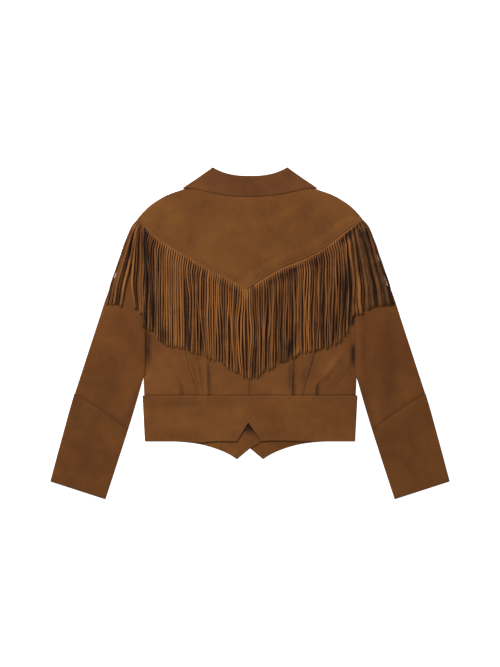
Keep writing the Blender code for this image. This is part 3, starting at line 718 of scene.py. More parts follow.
def thread(name, colour):
    """Waxed sewing thread, twisted, close to the suede's own colour."""
    material, tree, shader = new_material(name)
    place = add_node(tree, "ShaderNodeTexCoord", {}).outputs["Object"]
    twist = add_node(tree, "ShaderNodeTexNoise", {"Vector": place, "Scale": THREAD_TWIST})
    dark, light = (tinted(colour, 3 * (shade,)) for shade in THREAD_SHADES)
    inputs = {"Factor": twist.outputs["Fac"], "A": dark, "B": light}
    tint = add_node(tree, "ShaderNodeMix", inputs, data_type="RGBA")
    feed(tree, shader, {"Base Color": tint.outputs["Result"], "Roughness": 0.6})
    return material


def floor_paper(name):
    """A flat white finish that lights up evenly."""
    material, tree, shader = new_material(name)
    feed(tree, shader, {
        "Base Color": FLOOR_GREY,
        "Roughness": 1.0,
        "Specular IOR Level": 0.0,
        "Emission Color": WHITE,
        "Emission Strength": FLOOR_GLOW,
    })
    return material


# Making pieces.


def mesh_object(name, bm, material):
    """A mesh object from a bmesh, linked to the scene."""
    mesh = bpy.data.meshes.new(name)
    bm.to_mesh(mesh)
    bm.free()
    mesh.materials.append(material)
    made = bpy.data.objects.new(name, mesh)
    bpy.context.scene.collection.objects.link(made)
    return made


def finish_piece(name, bm, material):
    """A smooth piece from a bmesh, riding with the jacket."""
    piece = mesh_object(name, bm, material)
    piece.data.shade_smooth()
    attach(piece, "root")
    return piece


def give_wall(piece, wall):
    """The cloth's thickness, on its wrong side.

    Open fault: wall is in metres already, so that METRES makes the cloth a thousand times
    thinner than its setting says. Mending it changes every piece.
    """
    thickness = piece.modifiers.new("Wall", "SOLIDIFY")
    thickness.thickness = wall * METRES
    thickness.offset = -1.0
    thickness.use_quality_normals = True


def lay_grid(columns, rows, surface, face_down=False, cut_away=None):
    """A grid of cloth laid where surface(column, row) says, with its tone at each point."""
    bm = bmesh.new()
    bm.loops.layers.uv.new("cut")
    bmesh.ops.create_grid(bm, x_segments=columns, y_segments=rows, size=0.5, calc_uvs=True)
    if cut_away:
        gaps = []
        for face in bm.faces:
            middle = face.calc_center_median()
            if cut_away(int((middle.x + 0.5) * columns), int((middle.y + 0.5) * rows)):
                gaps.append(face)
        bmesh.ops.delete(bm, geom=gaps, context="FACES")
    tone = bm.verts.layers.float.new("tone")
    for vert in bm.verts:
        column = round((vert.co.x + 0.5) * columns)
        row = round((vert.co.y + 0.5) * rows)
        x, y, z, shade = surface(column, row)
        vert.co = Vector((x, y, z)) * METRES
        vert[tone] = shade
    bmesh.ops.remove_doubles(bm, verts=bm.verts, dist=0.02 * METRES)
    if face_down:
        bmesh.ops.reverse_faces(bm, faces=bm.faces)
    return bm


def names_of(kind, side):
    """The names of a kind of piece on one side, or on both for side 0."""
    if kind in NO_SIDE:
        return [kind]
    return [f"{kind}_{word}" for its_side, word in SIDES.items() if side in (0, its_side)]


def lay_cloth(kind, grid, side=0, seams=()):
    """One piece of suede from its grid, with its topstitching."""
    cloth = CLOTHS[kind]
    scene = bpy.context.scene
    node_name = names_of(kind, side)[0]
    name = f"suede_{node_name}"
    material = suede(name, getattr(scene.jacket_colours, cloth.slot), cloth.seed + side)
    piece = finish_piece(name, grid, material)
    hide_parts(node_name)
    give_wall(piece, getattr(scene.jacket_sizes, cloth.wall))
    stitches = [sewing(f"{node_name}_topstitch", seams)] if seams else []


# Body.


def tuck_height(x, y, fold, top_y, depth, turned):
    """How far a tuck lifts or sinks the back, fading out up the back."""
    fade = 1 - ease(WAIST_Y + 10.0, top_y, y)
    return depth * fade * tuck_profile(turned * (x - fold(y)))


def back_relief(side, x, y):
    """The back's tucks, seams and soft folds at a point of one half, and its tone: darker seams, painted
    shade in the tucks' troughs and the creases, a lighter line along the waist seam, and the nap with its
    painted light and shade.
    """
    tucks = TUCKS[side]
    height = tuck_height(x, y, long_tuck, LONG_TUCK_TOP_Y, tucks.long, side)
    height += tuck_height(x, y, small_tuck, SMALL_TUCK_TOP_Y, tucks.small, 1)
    from_princess = abs(x - princess(y))
    seams = -tucks.princess * hollow(from_princess, PRINCESS_WIDTH)
    seams -= sunk(STITCH_GROOVE, from_princess - TOPSTITCH_OFFSET)
    seams -= sunk(CENTRE_GROOVE, x - CENTRE_BACK_X * side)
    seams -= sunk(WAIST_GROOVE, y - WAIST_Y)
    creased = relief(BACK_CREASES, side * x, y)
    # Darker seams, painted shade in the tucks' troughs and the creases, and a lighter line along the waist
    # seam.
    tone = 0.16 * seams + 0.16 * min(height, 0.0) + 0.1 * min(creased, 0.0)
    tone += 0.1 * hollow(y - WAIST_Y, WAIST_GROOVE.width) + relief(NAP_AND_PAINTED_SHADE, side * x, y)
    height += creased
    height += 0.5 * waves(side * x, y, 46.0, 2.0) * ease(WAIST_Y, WAIST_Y + 20.0, y)
    return height + seams, tone


def painted_shade_under_fringe(side, x, y):
    """Painted shade on the suede under the fringe, by its tone."""
    on_body = x < SIDE_X
    end_y = fringe_ends(x) if on_body else FAN_SHADE_END[side]
    top_y = yoke_edge(side * x)
    under = ease(end_y + 2.0, end_y + 16.0, y) * ease(top_y + 1.0, top_y - 3.0, y)
    return -under * (SHADE_UNDER_FRINGE if on_body else SHADE_UNDER_FAN[side])


def back_top_edge(side, x):
    """Where a back panel ends under the yoke; it is cut short at the armhole."""
    tucked = mix(TUCKED_UNDER_YOKE, -1.2, ease(200.0, 222.0, x))
    return yoke_edge(side * x) + tucked


def column_lines(guides, counts):
    """Lines up a panel: guides that it must have, and others spaced evenly between them."""
    lines = []
    for left, right, count in zip(guides, guides[1:], counts):
        for step in range(count):
            lines.append(lambda y, a=left, b=right, s=step / count: mix(a(y), b(y), s))
    return lines + [guides[-1]]


def beside(line, offsets):
    """Lines that run beside a line at the same offsets all the way."""
    return [lambda y, offset=offset: line(y) + offset for offset in offsets]


def top_of(column_x, edge, guess):
    """Where a leaning column meets a panel's top edge, closed in on from a first guess."""
    return edge(column_x(edge(column_x(guess))))


def panel_point(lines, column, row, side):
    """A point of a back panel that hangs between the waist and the yoke. Its first row is
    the seam allowance, inside the waistband."""
    line = lines[column]
    if row == 0:
        return line(WAIST_Y), WAIST_Y - WAIST_ALLOWANCE
    top = top_of(line, lambda x: back_top_edge(side, x), 150.0)
    y = mix(WAIST_SEAM_Y, top, ((row - 1) / (BACK_ROWS - 1)) ** 1.5)
    return line(y), y


def seam_allowance(x, z, column, extra, row):
    """The first columns of a lapped panel step down and run on under the next panel."""
    if column >= extra:
        return x, z
    depth = 0.0 if row == 0 else ALLOWANCE_DEPTH
    return x - ALLOWANCE * (column == 0), z - depth


def back_panel(side):
    """The centre panel of one half of the back, from the centre seam to the princess seam."""
    centre = CENTRE_BACK_X * side + HALF_GAP
    tuck_offsets = sorted(side * row.x for row in TUCK_PROFILE)
    guides = [lambda y: centre] + beside(long_tuck, tuck_offsets) + beside(princess, [-HALF_GAP])
    lines = column_lines(guides, (26, 5, 3, 4, 5, 14))
    extra = 2 if side < 0 else 0

    def surface(column, row):
        x, y = panel_point(lines, max(column - extra, 0), row, side)
        height, tone = back_relief(side, x, y)
        z = BACK_TOP + height - WAIST_ALLOWANCE_DEPTH * (row == 0)
        x, z = seam_allowance(x, z, column, extra, row)
        # The back's tone with painted shade under the fringe.
        return side * x, y, z, tone + painted_shade_under_fringe(side, x, y)

    return lay_grid(len(lines) - 1 + extra, BACK_ROWS, surface, face_down=side < 0)


def sleeve_overlap(y):
    """How fully the sleeve's inner fold lies on the body's side."""
    return ease(-95.0, -87.0, y) * ease(46.0, 30.0, y)


def side_panel(side):
    """The side panel of one half of the back, rolled down to the side seam."""
    guides = beside(princess, [HALF_GAP]) + beside(small_tuck, [row.x for row in TUCK_PROFILE])
    guides += beside(body_side, [-EDGE_ROLL])
    lines = column_lines(guides, (8, 4, 3, 4, 5, 22))
    extra = 2
    flat_columns = len(lines) - 1
    roll_columns = 8

    def surface(lapped_column, row):
        column = lapped_column - extra
        x, y = panel_point(lines, min(max(column, 0), flat_columns), row, side)
        height, tone = back_relief(side, x, y)
        height -= WAIST_ALLOWANCE_DEPTH * (row == 0)
        z = BACK_TOP + height - SIDE_SINK * sleeve_overlap(y) * ease(18.0, 5.0, body_side(y) - x)
        if column > flat_columns:
            turn = (column - flat_columns) / roll_columns
            rolled = 1 - ease(UNDERARM_Y - 14.0, UNDERARM_Y + 22.0, y)
            reach = mix(turn, math.sin(turn * QUARTER_TURN), rolled)
            x = body_side(y) - EDGE_ROLL * (1 - reach)
            z = mix(z, mix(FOLD_FOOT, z, math.cos(turn * QUARTER_TURN)), rolled)
        x, z = seam_allowance(x, z, lapped_column, extra, row)
        # The side's tone with painted shade under the fringe.
        return side * x, y, z, tone + painted_shade_under_fringe(side, x, y)

    columns = extra + flat_columns + roll_columns
    return lay_grid(columns, BACK_ROWS, surface, face_down=side < 0)


def leaf_lift(x, y):
    """How far the collar's leaf lifts a front that lies on it."""
    run_x, run_y = LEAF_EDGE.front_x - LEAF_EDGE.side_x, LEAF_EDGE.front_y - LEAF_EDGE.side_y
    beyond = run_x * (y - LEAF_EDGE.side_y) - run_y * (x - LEAF_EDGE.side_x)
    beyond /= math.hypot(run_x, run_y)
    end_x, end_y = LEAF_EDGE.front_x - FOLD_LINE.front_x, LEAF_EDGE.front_y - FOLD_LINE.front_y
    end = end_x * (y - FOLD_LINE.front_y) - end_y * (x - FOLD_LINE.front_x)
    end /= math.hypot(end_x, end_y)
    return ease(54.0, 32.0, beyond) * ease(-40.0, -24.0, end) * OVERLAP_LIFT


def front_panel(side):
    """One front, flat on its right side; the left one lies over the right at the centre."""
    columns, rows = 56, 64
    lap_columns = 10
    lap_end = FRONT_LAP + 4.0
    flat_from = FRONT_LAP + 22.0

    def column_x(column, y):
        if column <= lap_columns:
            return mix(-FRONT_LAP, lap_end, column / lap_columns)
        share = (column - lap_columns) / (columns - lap_columns)
        return mix(lap_end, body_side(y), share)

    def top_edge(x):
        return front_neck(x) if x < NECK_HALF_X else shoulder(x)

    def surface(column, row):
        up = row / rows
        top = top_of(lambda y: column_x(column, y), top_edge, 200.0)
        y = mix(WAIST_SEAM_Y, top, up)
        x = column_x(column, y)
        z = leaf_lift(x, y)
        if side < 0:
            lapped = OVERLAP_LIFT + SEAM_GAP + leaf_lift(-x, y)
            z = max(z, lapped * ease(flat_from, lap_end, x))
        rumple = 0.35 * (1 + waves(side * x, y, 52.0, 7.0)) * ease(0.0, 0.15, up)
        rumple *= ease(1.0, 0.8, up) * ease(1.0, 0.9, column / columns)
        return side * x, y, z + rumple, 0.0

    return lay_grid(columns, rows, surface, face_down=side > 0)


# Yoke.


def yoke_column(share):
    """Where the yoke's cloth starts and ends up the back, at a share across it."""
    low_x = YOKE_TIP_X * share
    high_x = YOKE_END_X * share
    low_y = yoke_edge(low_x)
    return low_x, high_x, low_y, shoulder(abs(high_x)) - low_y


def yoke_ridge(up, length):
    """The turned and topstitched edge of the yoke, standing up over the fringe, and its tone: a painted
    highlight along the ridge and painted shade in the stitch groove and on the rounded edge.
    """
    full = mix(EDGE_RIDGE_AT_TIP, EDGE_RIDGE, ease(10.0, 50.0, length))
    fade = 1 - ease(0.6 * RIDGE_FADE, RIDGE_FADE, up * max(1.0, 60.0 / max(length, 1.0)))
    groove = 0.55 * hollow(up - STITCH_INSET, 0.9) * ease(8.0, 30.0, length)
    rounded = 0.7 * hollow(up, 0.8)
    tone = PAINTED_RIDGE_HIGHLIGHT * hollow(up - 3.0, 2.2) - 0.3 * groove - 0.1 * rounded
    return full * fade - groove - rounded, tone


def yoke_spot(share, up, sink=0.0):
    """A point of the yoke: a share across, up from its lower edge, sunk over the shoulder."""
    low_x, high_x, low_y, length = yoke_column(share)
    ridge, tone = yoke_ridge(up, length)
    # Painted shade in the stitch groove, on the left half only.
    tone -= 0.14 * hollow(up - STITCH_INSET, 1.0) * ease(0.0, -0.4, share)
    x = mix(low_x, high_x, up / length)
    y = low_y + up
    inside = ease(0.0, 20.0, up) * ease(0.0, 16.0, length - up)
    soft = 0.55 * waves(x, y, 60.0, 4.0) + relief(YOKE_CREASES, x, y)
    foot = FOLD_FOOT + 1.4 * leaf_lift(abs(high_x) - 12.0, low_y + length)
    z = mix(BACK_TOP + ridge + inside * soft, foot, sink)
    return x, y, z, tone + relief(NAP_AND_PAINTED_SHADE, x, y)


def yoke_panel():
    """The back yoke, ridged along its V edge and rolled down over both shoulders."""
    half, flat_rows, roll_rows = 76, 30, 8
    near = YOKE_EDGE_ROWS
    middle = YOKE_EDGE_RIGHT[0].x / YOKE_TIP_X

    def surface(column, row):
        if column <= half:
            share = mix(-1.0, middle, column / half)
        else:
            share = mix(middle, 1.0, (column - half) / half)
        _, high_x, _, length = yoke_column(share)
        roll = min(EDGE_ROLL, 0.5 * length)
        reach = min(1.0, 0.45 * length / near[-1])
        sink = 0.0
        if row < len(near):
            up = near[row] * reach
        elif row < len(near) + flat_rows:
            spread = (row - len(near) + 1) / flat_rows
            up = mix(near[-1] * reach, length - roll, spread)
        else:
            angle = (row - len(near) - flat_rows + 1) / roll_rows * QUARTER_TURN
            up = length - roll * (1 - math.sin(angle))
            sink = 1 - math.cos(angle)
            sink *= ease(NECK_HALF_X - 2.0, NECK_HALF_X + 14.0, abs(high_x))
        return yoke_spot(share, up, sink)

    return lay_grid(2 * half, len(near) + flat_rows + roll_rows - 1, surface)


# Waistband.


def spread_between(places, longest):
    """Places along a line, with more between them so that none is further on than longest."""
    filled = [places[0]]
    for left, right in zip(places, places[1:]):
        count = max(1, math.ceil(abs(right - left) / longest))
        filled += [mix(left, right, (step + 1) / count) for step in range(count)]
    return filled


def straight_line(table, x):
    """The height of a line with corners at a table's rows."""
    for left, right in zip(table, table[1:]):
        if x <= right.x:
            return mix(left.y, right.y, (x - left.x) / (right.x - left.x))
    return table[-1].y


def front_hem(x):
    return straight_line(FRONT_HEM, x) if x < HEM_POINT_X else front_hem_outer(x)


def back_hem_slope(x):
    return (straight_line(BACK_HEM, x + 1.0) - straight_line(BACK_HEM, x - 1.0)) / 2


def back_hem_places(end, longest):
    """Places across the back's hem between its sides, with every corner among them."""
    return spread_between([-end] + [row.x for row in BACK_HEM[1:-1]] + [end], longest)


def band_stops():
    """Round the waistband from the left front's end to the right front's: x, hem and height."""
    radius = BAND_TOP / 2
    end = BAND_SIDE_X - radius
    corners = [row.x for row in FRONT_HEM[:3]]
    corners += [FRONT_BAND_SEAM_X + aside for aside in (-3.2, -1.6, 0.0, 1.6)]
    front_x = spread_between(corners + [end], 3.2)[:-1]

    def front_stops(side):
        stops = []
        for x in front_x:
            lifted = BAND_LIFT * ease(FRONT_LAP + 16.0, FRONT_LAP + 4.0, x)
            stops.append(BandStop(side * x, front_hem(x), lifted if side < 0 else 0.0))
        return stops

    def fold_stops(side):
        stops = []
        for step in range(9):
            turn = step * math.pi / 8
            x = end + radius * math.sin(turn)
            stops.append(BandStop(side * x, BACK_HEM[0].y, radius - radius * math.cos(turn)))
        return stops

    back_x = back_hem_places(end, 2.6)[1:-1]
    stops = front_stops(-1) + fold_stops(-1)
    stops += [BandStop(x, straight_line(BACK_HEM, x), BAND_TOP) for x in back_x]
    return stops + fold_stops(1)[::-1] + front_stops(1)[::-1]


def band_relief(stop, y):
    """The waistband's turned edges, topstitching and soft unevenness, and its tone: darker seams and
    stitching, a painted highlight on the turned edges and painted light and shade on the puckers.
    """
    slant = 1 / math.hypot(1.0, back_hem_slope(stop.x))
    above_hem = (y - stop.hem_y) * slant
    below_top = BAND_SEAM_Y - y
    seams = -0.9 * hollow(above_hem, 0.9) - 1.5 * hollow(below_top, 0.9)
    lines = hollow(above_hem - HEM_STITCH, 0.9) + 0.6 * hollow(below_top - BAND_TOP_STITCH, 0.8)
    pucker = math.sin(stop.x * 0.72 + 1.4 * math.sin(stop.x * 0.21))
    pucker *= 0.12 * hollow(above_hem - HEM_STITCH - 2.0, 3.0)
    turned = 0.5 * hollow(below_top - 2.2, 1.8) + 0.35 * hollow(above_hem - 1.8, 1.6)
    height = seams - 0.4 * lines + pucker + turned
    soft = 0.6 * waves(stop.x, y, 58.0, 9.0) + relief(BAND_CREASES, stop.x, y)
    height += soft * ease(0.0, 14.0, above_hem) * ease(0.0, 14.0, below_top)
    # Darker seams and stitching, a painted highlight on the turned edges, and painted light and shade on
    # the puckers.
    tone = 0.1 * seams - 0.07 * lines + 0.06 * turned + 0.2 * pucker
    return height, tone + relief(NAP_AND_PAINTED_SHADE, stop.x, y)


def front_band_lift(x, y):
    """How the band's front half rises at its seam and where it shows below the back, and
    where painted shade darkens its seam and crease."""
    below_hem = straight_line(BACK_HEM, x) - y
    out = abs(x)
    lift = FRONT_BAND_SEAM_LIFT * hollow(out - FRONT_BAND_SEAM_X, 1.6) * ease(0.0, 5.0, below_hem)
    creased = 0.5 * hollow(out - FRONT_BAND_SEAM_X + 2.0, 1.4)
    creased += 0.4 * hollow(out - HEM_POINT_X, 1.6)
    inside = ease(FRONT_LAP + 16.0, FRONT_LAP + 4.0, out)
    under = (FRONT_TAIL_LIFT - BAND_LIFT * inside) * ease(-12.0, -1.0, below_hem)
    return lift, mix(under, FRONT_TAIL_LIFT, ease(0.0, 5.0, below_hem)), creased


def waistband_panel():
    """One band round the hem, open at the centre front, where its two points cross."""
    stops = band_stops()

    def surface(column, row):
        stop = stops[column]
        share = (1 - math.cos(math.pi * row / BAND_ROWS)) / 2
        y = mix(stop.hem_y, BAND_SEAM_Y, share)
        height, tone = band_relief(stop, y)
        on_back = ease(0.55, 1.0, stop.z / BAND_TOP)
        z = stop.z + height * on_back
        creased = 0.0
        if stop.z < BAND_LIFT + 0.1:
            seam, tail, creased = front_band_lift(stop.x, y)
            z = z + seam + tail
        near_side = abs(stop.x)
        corner = max(0.0, 1 - (BAND_SEAM_Y - y) / 2.6) ** 2
        narrowed = 0.5 * corner * ease(BAND_SIDE_X - 5.0, BAND_SIDE_X, near_side)
        narrowed += mix(BAND_TAPER, -BAND_FLARE, share) * ease(180.0, BAND_SIDE_X, near_side)
        x = stop.x - narrowed * math.copysign(1.0, stop.x)
        # Painted shadow in the notch, and painted shade on the front half where it shows, deeper along its
        # seam and crease and on the right.
        shaded = NOTCH_SHADE * ease(34.0, 5.0, NOTCH.y - y) * ease(40.0, 20.0, abs(x - NOTCH.x))
        shaded += 0.3 * creased + 0.05 + 0.05 * (x > 0)
        return x, y, z, tone * on_back - shaded * (1 - on_back)

    return lay_grid(len(stops) - 1, BAND_ROWS, surface)


# Sleeves.


def ring_stops(width, top, closed):
    """Round a flattened sleeve: how far across and how high, from its inner fold's top
    round the outer fold to its inner fold's foot. An open ring ends flat at the armhole."""
    radius = top / 2
    outer = min(radius, 0.55 * width)
    stops = []
    for step in range(FOLD_STEPS + 1):
        angle = step / FOLD_STEPS * QUARTER_TURN
        across = mix(radius * step / FOLD_STEPS, radius * (1 - math.cos(angle)), closed)
        stops.append((across, mix(top, radius + radius * math.sin(angle), closed)))
    start = min(stops[-1][0], 0.4 * width)
    stops = [(min(across, start * k / FOLD_STEPS), high) for k, (across, high) in enumerate(stops)]
    for step in range(1, SLEEVE_TOP_STEPS + 1):
        stops.append((mix(start, width - outer, step / SLEEVE_TOP_STEPS), top))
    for step in range(1, 2 * FOLD_STEPS + 1):
        angle = step * math.pi / (2 * FOLD_STEPS)
        stops.append((width - outer + outer * math.sin(angle), radius + radius * math.cos(angle)))
    for step in range(1, SLEEVE_FOOT_STEPS + 1):
        stops.append((mix(width - outer, start, step / SLEEVE_FOOT_STEPS), 0.0))
    return stops + [(across, top - high) for across, high in stops[FOLD_STEPS - 1::-1]]


def inner_fold_x(y):
    """The inner fold of a sleeve: along the body, and straight on to the cuff."""
    if y >= UNDERARM_Y:
        return body_side(y) + ARMHOLE_GAP
    return ELBOW.x if y >= ELBOW.y else inner_fold(y)


def sleeve_relief(side, x, y, seam_down):
    """A sleeve's soft folds and unevenness, and how far it lies above flat."""
    height = relief(SLEEVE_CREASES[side], side * x, y)
    height += 0.6 * (1 + waves(side * x, y, 62.0, 12.0))
    return height * ease(0.0, 12.0, seam_down)


def cuff_edges(from_start, from_end):
    """How the cuff's seam, hem and topstitching raise or sink it, and their tone, with a painted highlight
    on the turned edge.
    """
    seams = -1.0 * hollow(from_start, 0.8) - 0.6 * hollow(from_end, 0.9)
    line = hollow(from_start - CUFF_STITCH, 0.9) + hollow(from_end - CUFF_HEM_STITCH, 0.9)
    turned = 0.5 * hollow(from_start - 2.2, 1.8)
    return seams - 0.35 * line + turned, 0.12 * seams - 0.06 * line + 0.07 * turned


def sleeve_tube(side, sections):
    """A flattened tube lofted through its sections, open at both ends, and the rows of
    topstitching on it. The upper sleeve ends in a tail that runs on inside the cuff."""
    is_cuff = sections is LOWER_SLEEVE
    top = CUFF_TOP if is_cuff else SLEEVE_TOP
    rows = CUFF_ROWS if is_cuff else SLEEVE_ROWS
    columns = len(ring_stops(100.0, top, 1.0)) - 1
    last = len(sections) - 1
    lofted = rows if is_cuff else rows - TAIL_ROWS

    def surface(column, row):
        place = min(row, lofted) / lofted * last
        index = min(int(place), last - 1)
        share = place - index
        here, after = sections[index], sections[index + 1]
        outer_y = mix(here.outer_y, after.outer_y, share)
        inset = 0.0 if is_cuff else sleeve_inset[side](outer_y)
        outer = Vector((mix(here.outer_x, after.outer_x, share) - inset, outer_y))
        inner_y = mix(here.inner_y, after.inner_y, share)
        inner = Vector((inner_fold_x(inner_y), inner_y))
        width = (outer - inner).length
        closed = ease(UNDERARM_Y + 26.0, UNDERARM_Y, inner_y)
        across, high = ring_stops(width, top, closed)[column]
        across_share = across / width
        upper = ease(0.5 * top, top, high)
        run = Vector((after.outer_x, after.outer_y)) - Vector((here.outer_x, here.outer_y))
        from_end = (lofted - row) / lofted * last * run.length
        from_start = row / lofted * last * run.length

        over = 0.0 if is_cuff else sleeve_overlap(inner_y)
        near = max(0.0, 1 - across / OVERLAP_REACH) ** 2
        tucked = (1 - closed) * max(0.0, 1 - across / ARMHOLE_TUCK_REACH)
        spot = inner.lerp(outer, across_share)
        spot.x -= (OVERLAP_WIDTH * over + ARMHOLE_TUCK * (1 - closed)) * near
        bowed = ease(CUFF_BOW_REACH, 0.0, from_start if is_cuff else max(from_end, 0.0))
        bowed *= CUFF_SEAM_BOW[side] * math.sin(math.pi * across / width)
        spot -= run.normalized() * bowed
        body = ease(0.0, 0.12, across_share) * ease(1.0, 0.88, across_share)
        height = sleeve_relief(side, spot.x, spot.y, min(from_start, max(from_end, 0.0)))
        if is_cuff:
            edge, tone = cuff_edges(from_start, from_end)
        else:
            edge = -0.9 * hollow(from_end, 2.2)
            # Darker at the seam, with painted shade under the fan.
            tone = 0.12 * edge + painted_shade_under_fringe(side, max(spot.x, SIDE_X), spot.y)
        tone += relief(NAP_AND_PAINTED_SHADE, side * spot.x, spot.y)
        pressed = PRESSED_FOLD + (high - top / 2) * PRESSED_SHARE
        high = mix(high, pressed, over * near)
        high += upper * (height * body + edge - ARMHOLE_SINK * tucked)
        if row > lofted:
            inward = ease(-1.0, 1.0, 2 * across_share - 1) - 0.5
            spot += run.normalized() * TAIL_LENGTH * (row - lofted) / TAIL_ROWS
            spot -= (outer - inner).normalized() * 2 * TAIL_INSET * inward
            high = mix(TAIL_LOW, TAIL_HIGH, high / top)
            tone = TAIL_PAINTED_SHADE
        return side * spot.x, spot.y, high, tone * upper

    def row_at(start, after, along):
        """The row that lies some way along the tube from one of its ends."""
        run = math.hypot(after.outer_x - start.outer_x, after.outer_y - start.outer_y)
        return along / run * lofted / last

    sewn_columns = range(2, FOLD_STEPS + SLEEVE_TOP_STEPS + 5)
    seams = [
        [on_cloth(*surface(column, row)) for column in sewn_columns]
        for row in (
            row_at(sections[0], sections[1], CUFF_STITCH),
            lofted - row_at(sections[-1], sections[-2], CUFF_HEM_STITCH),
        )
    ]
    return lay_grid(columns, rows, surface, face_down=side > 0), seams


# Collar.


def collar_spot(line, step):
    """Where one of the collar's lines lies, in plan, at a step out from the centre back."""
    if step <= BACK_COLUMNS:
        share = step / BACK_COLUMNS
        bowed = share ** line.bow * (1 + line.turn * (1 - share))
        return Vector((line.side_x * share, mix(line.back_y, line.side_y, bowed)))
    share = max(step - BACK_COLUMNS - TURN_COLUMNS, 0) / FRONT_COLUMNS
    side = Vector((line.side_x, line.side_y))
    return side.lerp(Vector((line.front_x, line.front_y)), share)


def collar_station(step):
    """The collar's section at a step round it: the place of each row in plan, and how far
    the row stands off the middle of the flattened neck."""
    seam, fold, leaf_middle, leaf_edge = (
        collar_spot(line, step) for line in (NECK_SEAM, FOLD_LINE, LEAF_MIDDLE, LEAF_EDGE)
    )
    inward = ((seam - fold).normalized() + (leaf_middle - fold).normalized()).normalized()
    turning = ease(0.8 * BACK_COLUMNS, BACK_COLUMNS, step)
    turning *= ease(BACK_COLUMNS + TURN_COLUMNS + 5, BACK_COLUMNS + TURN_COLUMNS, step)
    inward = inward.lerp(Vector((0.0, -1.0)), turning).normalized()
    radius = (LEAF_OFFSET - STAND_OFFSET) / 2
    section = [(seam.lerp(fold, k / STAND_ROWS), STAND_OFFSET) for k in range(STAND_ROWS)]
    for k in range(FOLD_ROWS + 1):
        angle = math.pi * (k / FOLD_ROWS - 0.5)
        spot = fold + inward * radius * (1 - math.cos(angle))
        section.append((spot, STAND_OFFSET + radius + radius * math.sin(angle)))
    rolled = section[-1][0]
    leaf = [rolled.lerp(leaf_middle, k / LEAF_ROWS) for k in range(1, LEAF_ROWS + 1)]
    leaf += [leaf_middle.lerp(leaf_edge, share) for share in LEAF_SHARES]
    return section + [(spot, LEAF_OFFSET) for spot in leaf]


def collar_cloth():
    """A stand with its leaf folded over it, once round the flattened neck."""
    half = BACK_COLUMNS + TURN_COLUMNS + FRONT_COLUMNS
    stations = [collar_station(step) for step in range(half + 1)]
    first_leaf_row = STAND_ROWS + FOLD_ROWS + 1

    def surface(column, row):
        side = -1 if column < half else 1
        step = abs(column - half)
        spot, offset = stations[step][row]
        turn = min(max(step - BACK_COLUMNS, 0) / TURN_COLUMNS, 1.0) * math.pi
        to_edge = (stations[step][-1][0] - spot).length
        outer = 1.0 if row >= first_leaf_row else 0.0
        facing_up = max(0.0, math.cos(turn))
        lift = LEAF_EDGE_LIFT * ease(30.0, 3.0, to_edge) - 0.7 * hollow(to_edge, 0.9)
        groove = hollow(to_edge - LEAF_STITCH, 1.0)
        soft = 0.5 * waves(side * spot.x, spot.y, 38.0, 15.0) * ease(0.0, 12.0, to_edge)
        soft += relief(COLLAR_CREASES, side * spot.x, spot.y)
        offset += facing_up * outer * (lift - 0.3 * groove + soft)
        x = spot.x + offset * math.sin(turn)
        # The nap with its painted light and shade, darker in the stitch groove, and painted shade along the
        # leaf's edge.
        brushed = relief(NAP_AND_PAINTED_SHADE, side * spot.x, spot.y)
        tone = outer * (brushed - 0.07 * groove - 0.06 * hollow(to_edge, 0.9))
        return side * x, spot.y, COLLAR_CORE_Z + offset * math.cos(turn), tone

    rows = len(stations[0]) - 1
    sewn_row = first_leaf_row + LEAF_ROWS + LEAF_SHARES.index(LEAF_STITCH_SHARE)
    sewn_columns = range(half - BACK_COLUMNS, half + BACK_COLUMNS + 1)
    leaf_seam = [on_cloth(*surface(column, sewn_row)) for column in sewn_columns]
    return lay_grid(2 * half, rows, surface, face_down=True), leaf_seam


# Fringe.


def header_drop(side, x):
    """How far the uncut strip shows below the yoke before its strands start."""
    return mix(HEADER_DROP[side], HEADER_DROP_AT_TIP, ease(214.0, 234.0, x))


def strand_roots(side):
    """Where the hanging strands start across the yoke, closer together towards the fan."""
    roots, x = [], -side * YOKE_EDGE_RIGHT[0].x + FIRST_STRAND_OFFSET
    while x < FAN[side][0].root_x - 0.7 * FAN_PITCH:
        roots.append(x)
        x += mix(STRAND_PITCH, FAN_PITCH, ease(170.0, 220.0, x))
    return roots


def hanging_strands(side, chance):
    """The strands that hang down the back, drawn together in clumps."""
    roots = strand_roots(side)
    hanging = []
    clump, pull = [], 0.0
    for index, x in enumerate(roots):
        if index >= len(clump):
            together = roots[index:index + chance.choice(CLUMP_SIZES)]
            clump += [sum(together) / len(together)] * len(together)
            pull = chance.uniform(0.3, 1.0) * CLUMP_PULL
        calm = strand_calm[side](x)
        end_x = x + 4.0 * ease(120.0, 200.0, x) + chance.uniform(-0.8, 0.8) * (1 - calm)
        level = (LEVELS[index % len(LEVELS)] + chance.uniform(-0.2, 0.2)) * (1 - 0.75 * calm)
        end_y = fringe_ends(end_x) + chance.uniform(-2.6, 2.2)
        width = STRAND_WIDTH * chance.uniform(0.72, 1.12)
        tone = strand_tone[side](x) + chance.uniform(-0.22, 0.22) * (1 - 0.5 * calm)
        middle_x = (clump[index] - x) * pull * (1 - calm)
        hanging.append(FanStrand(x, middle_x, end_x, end_y, width, level, tone))
    return hanging


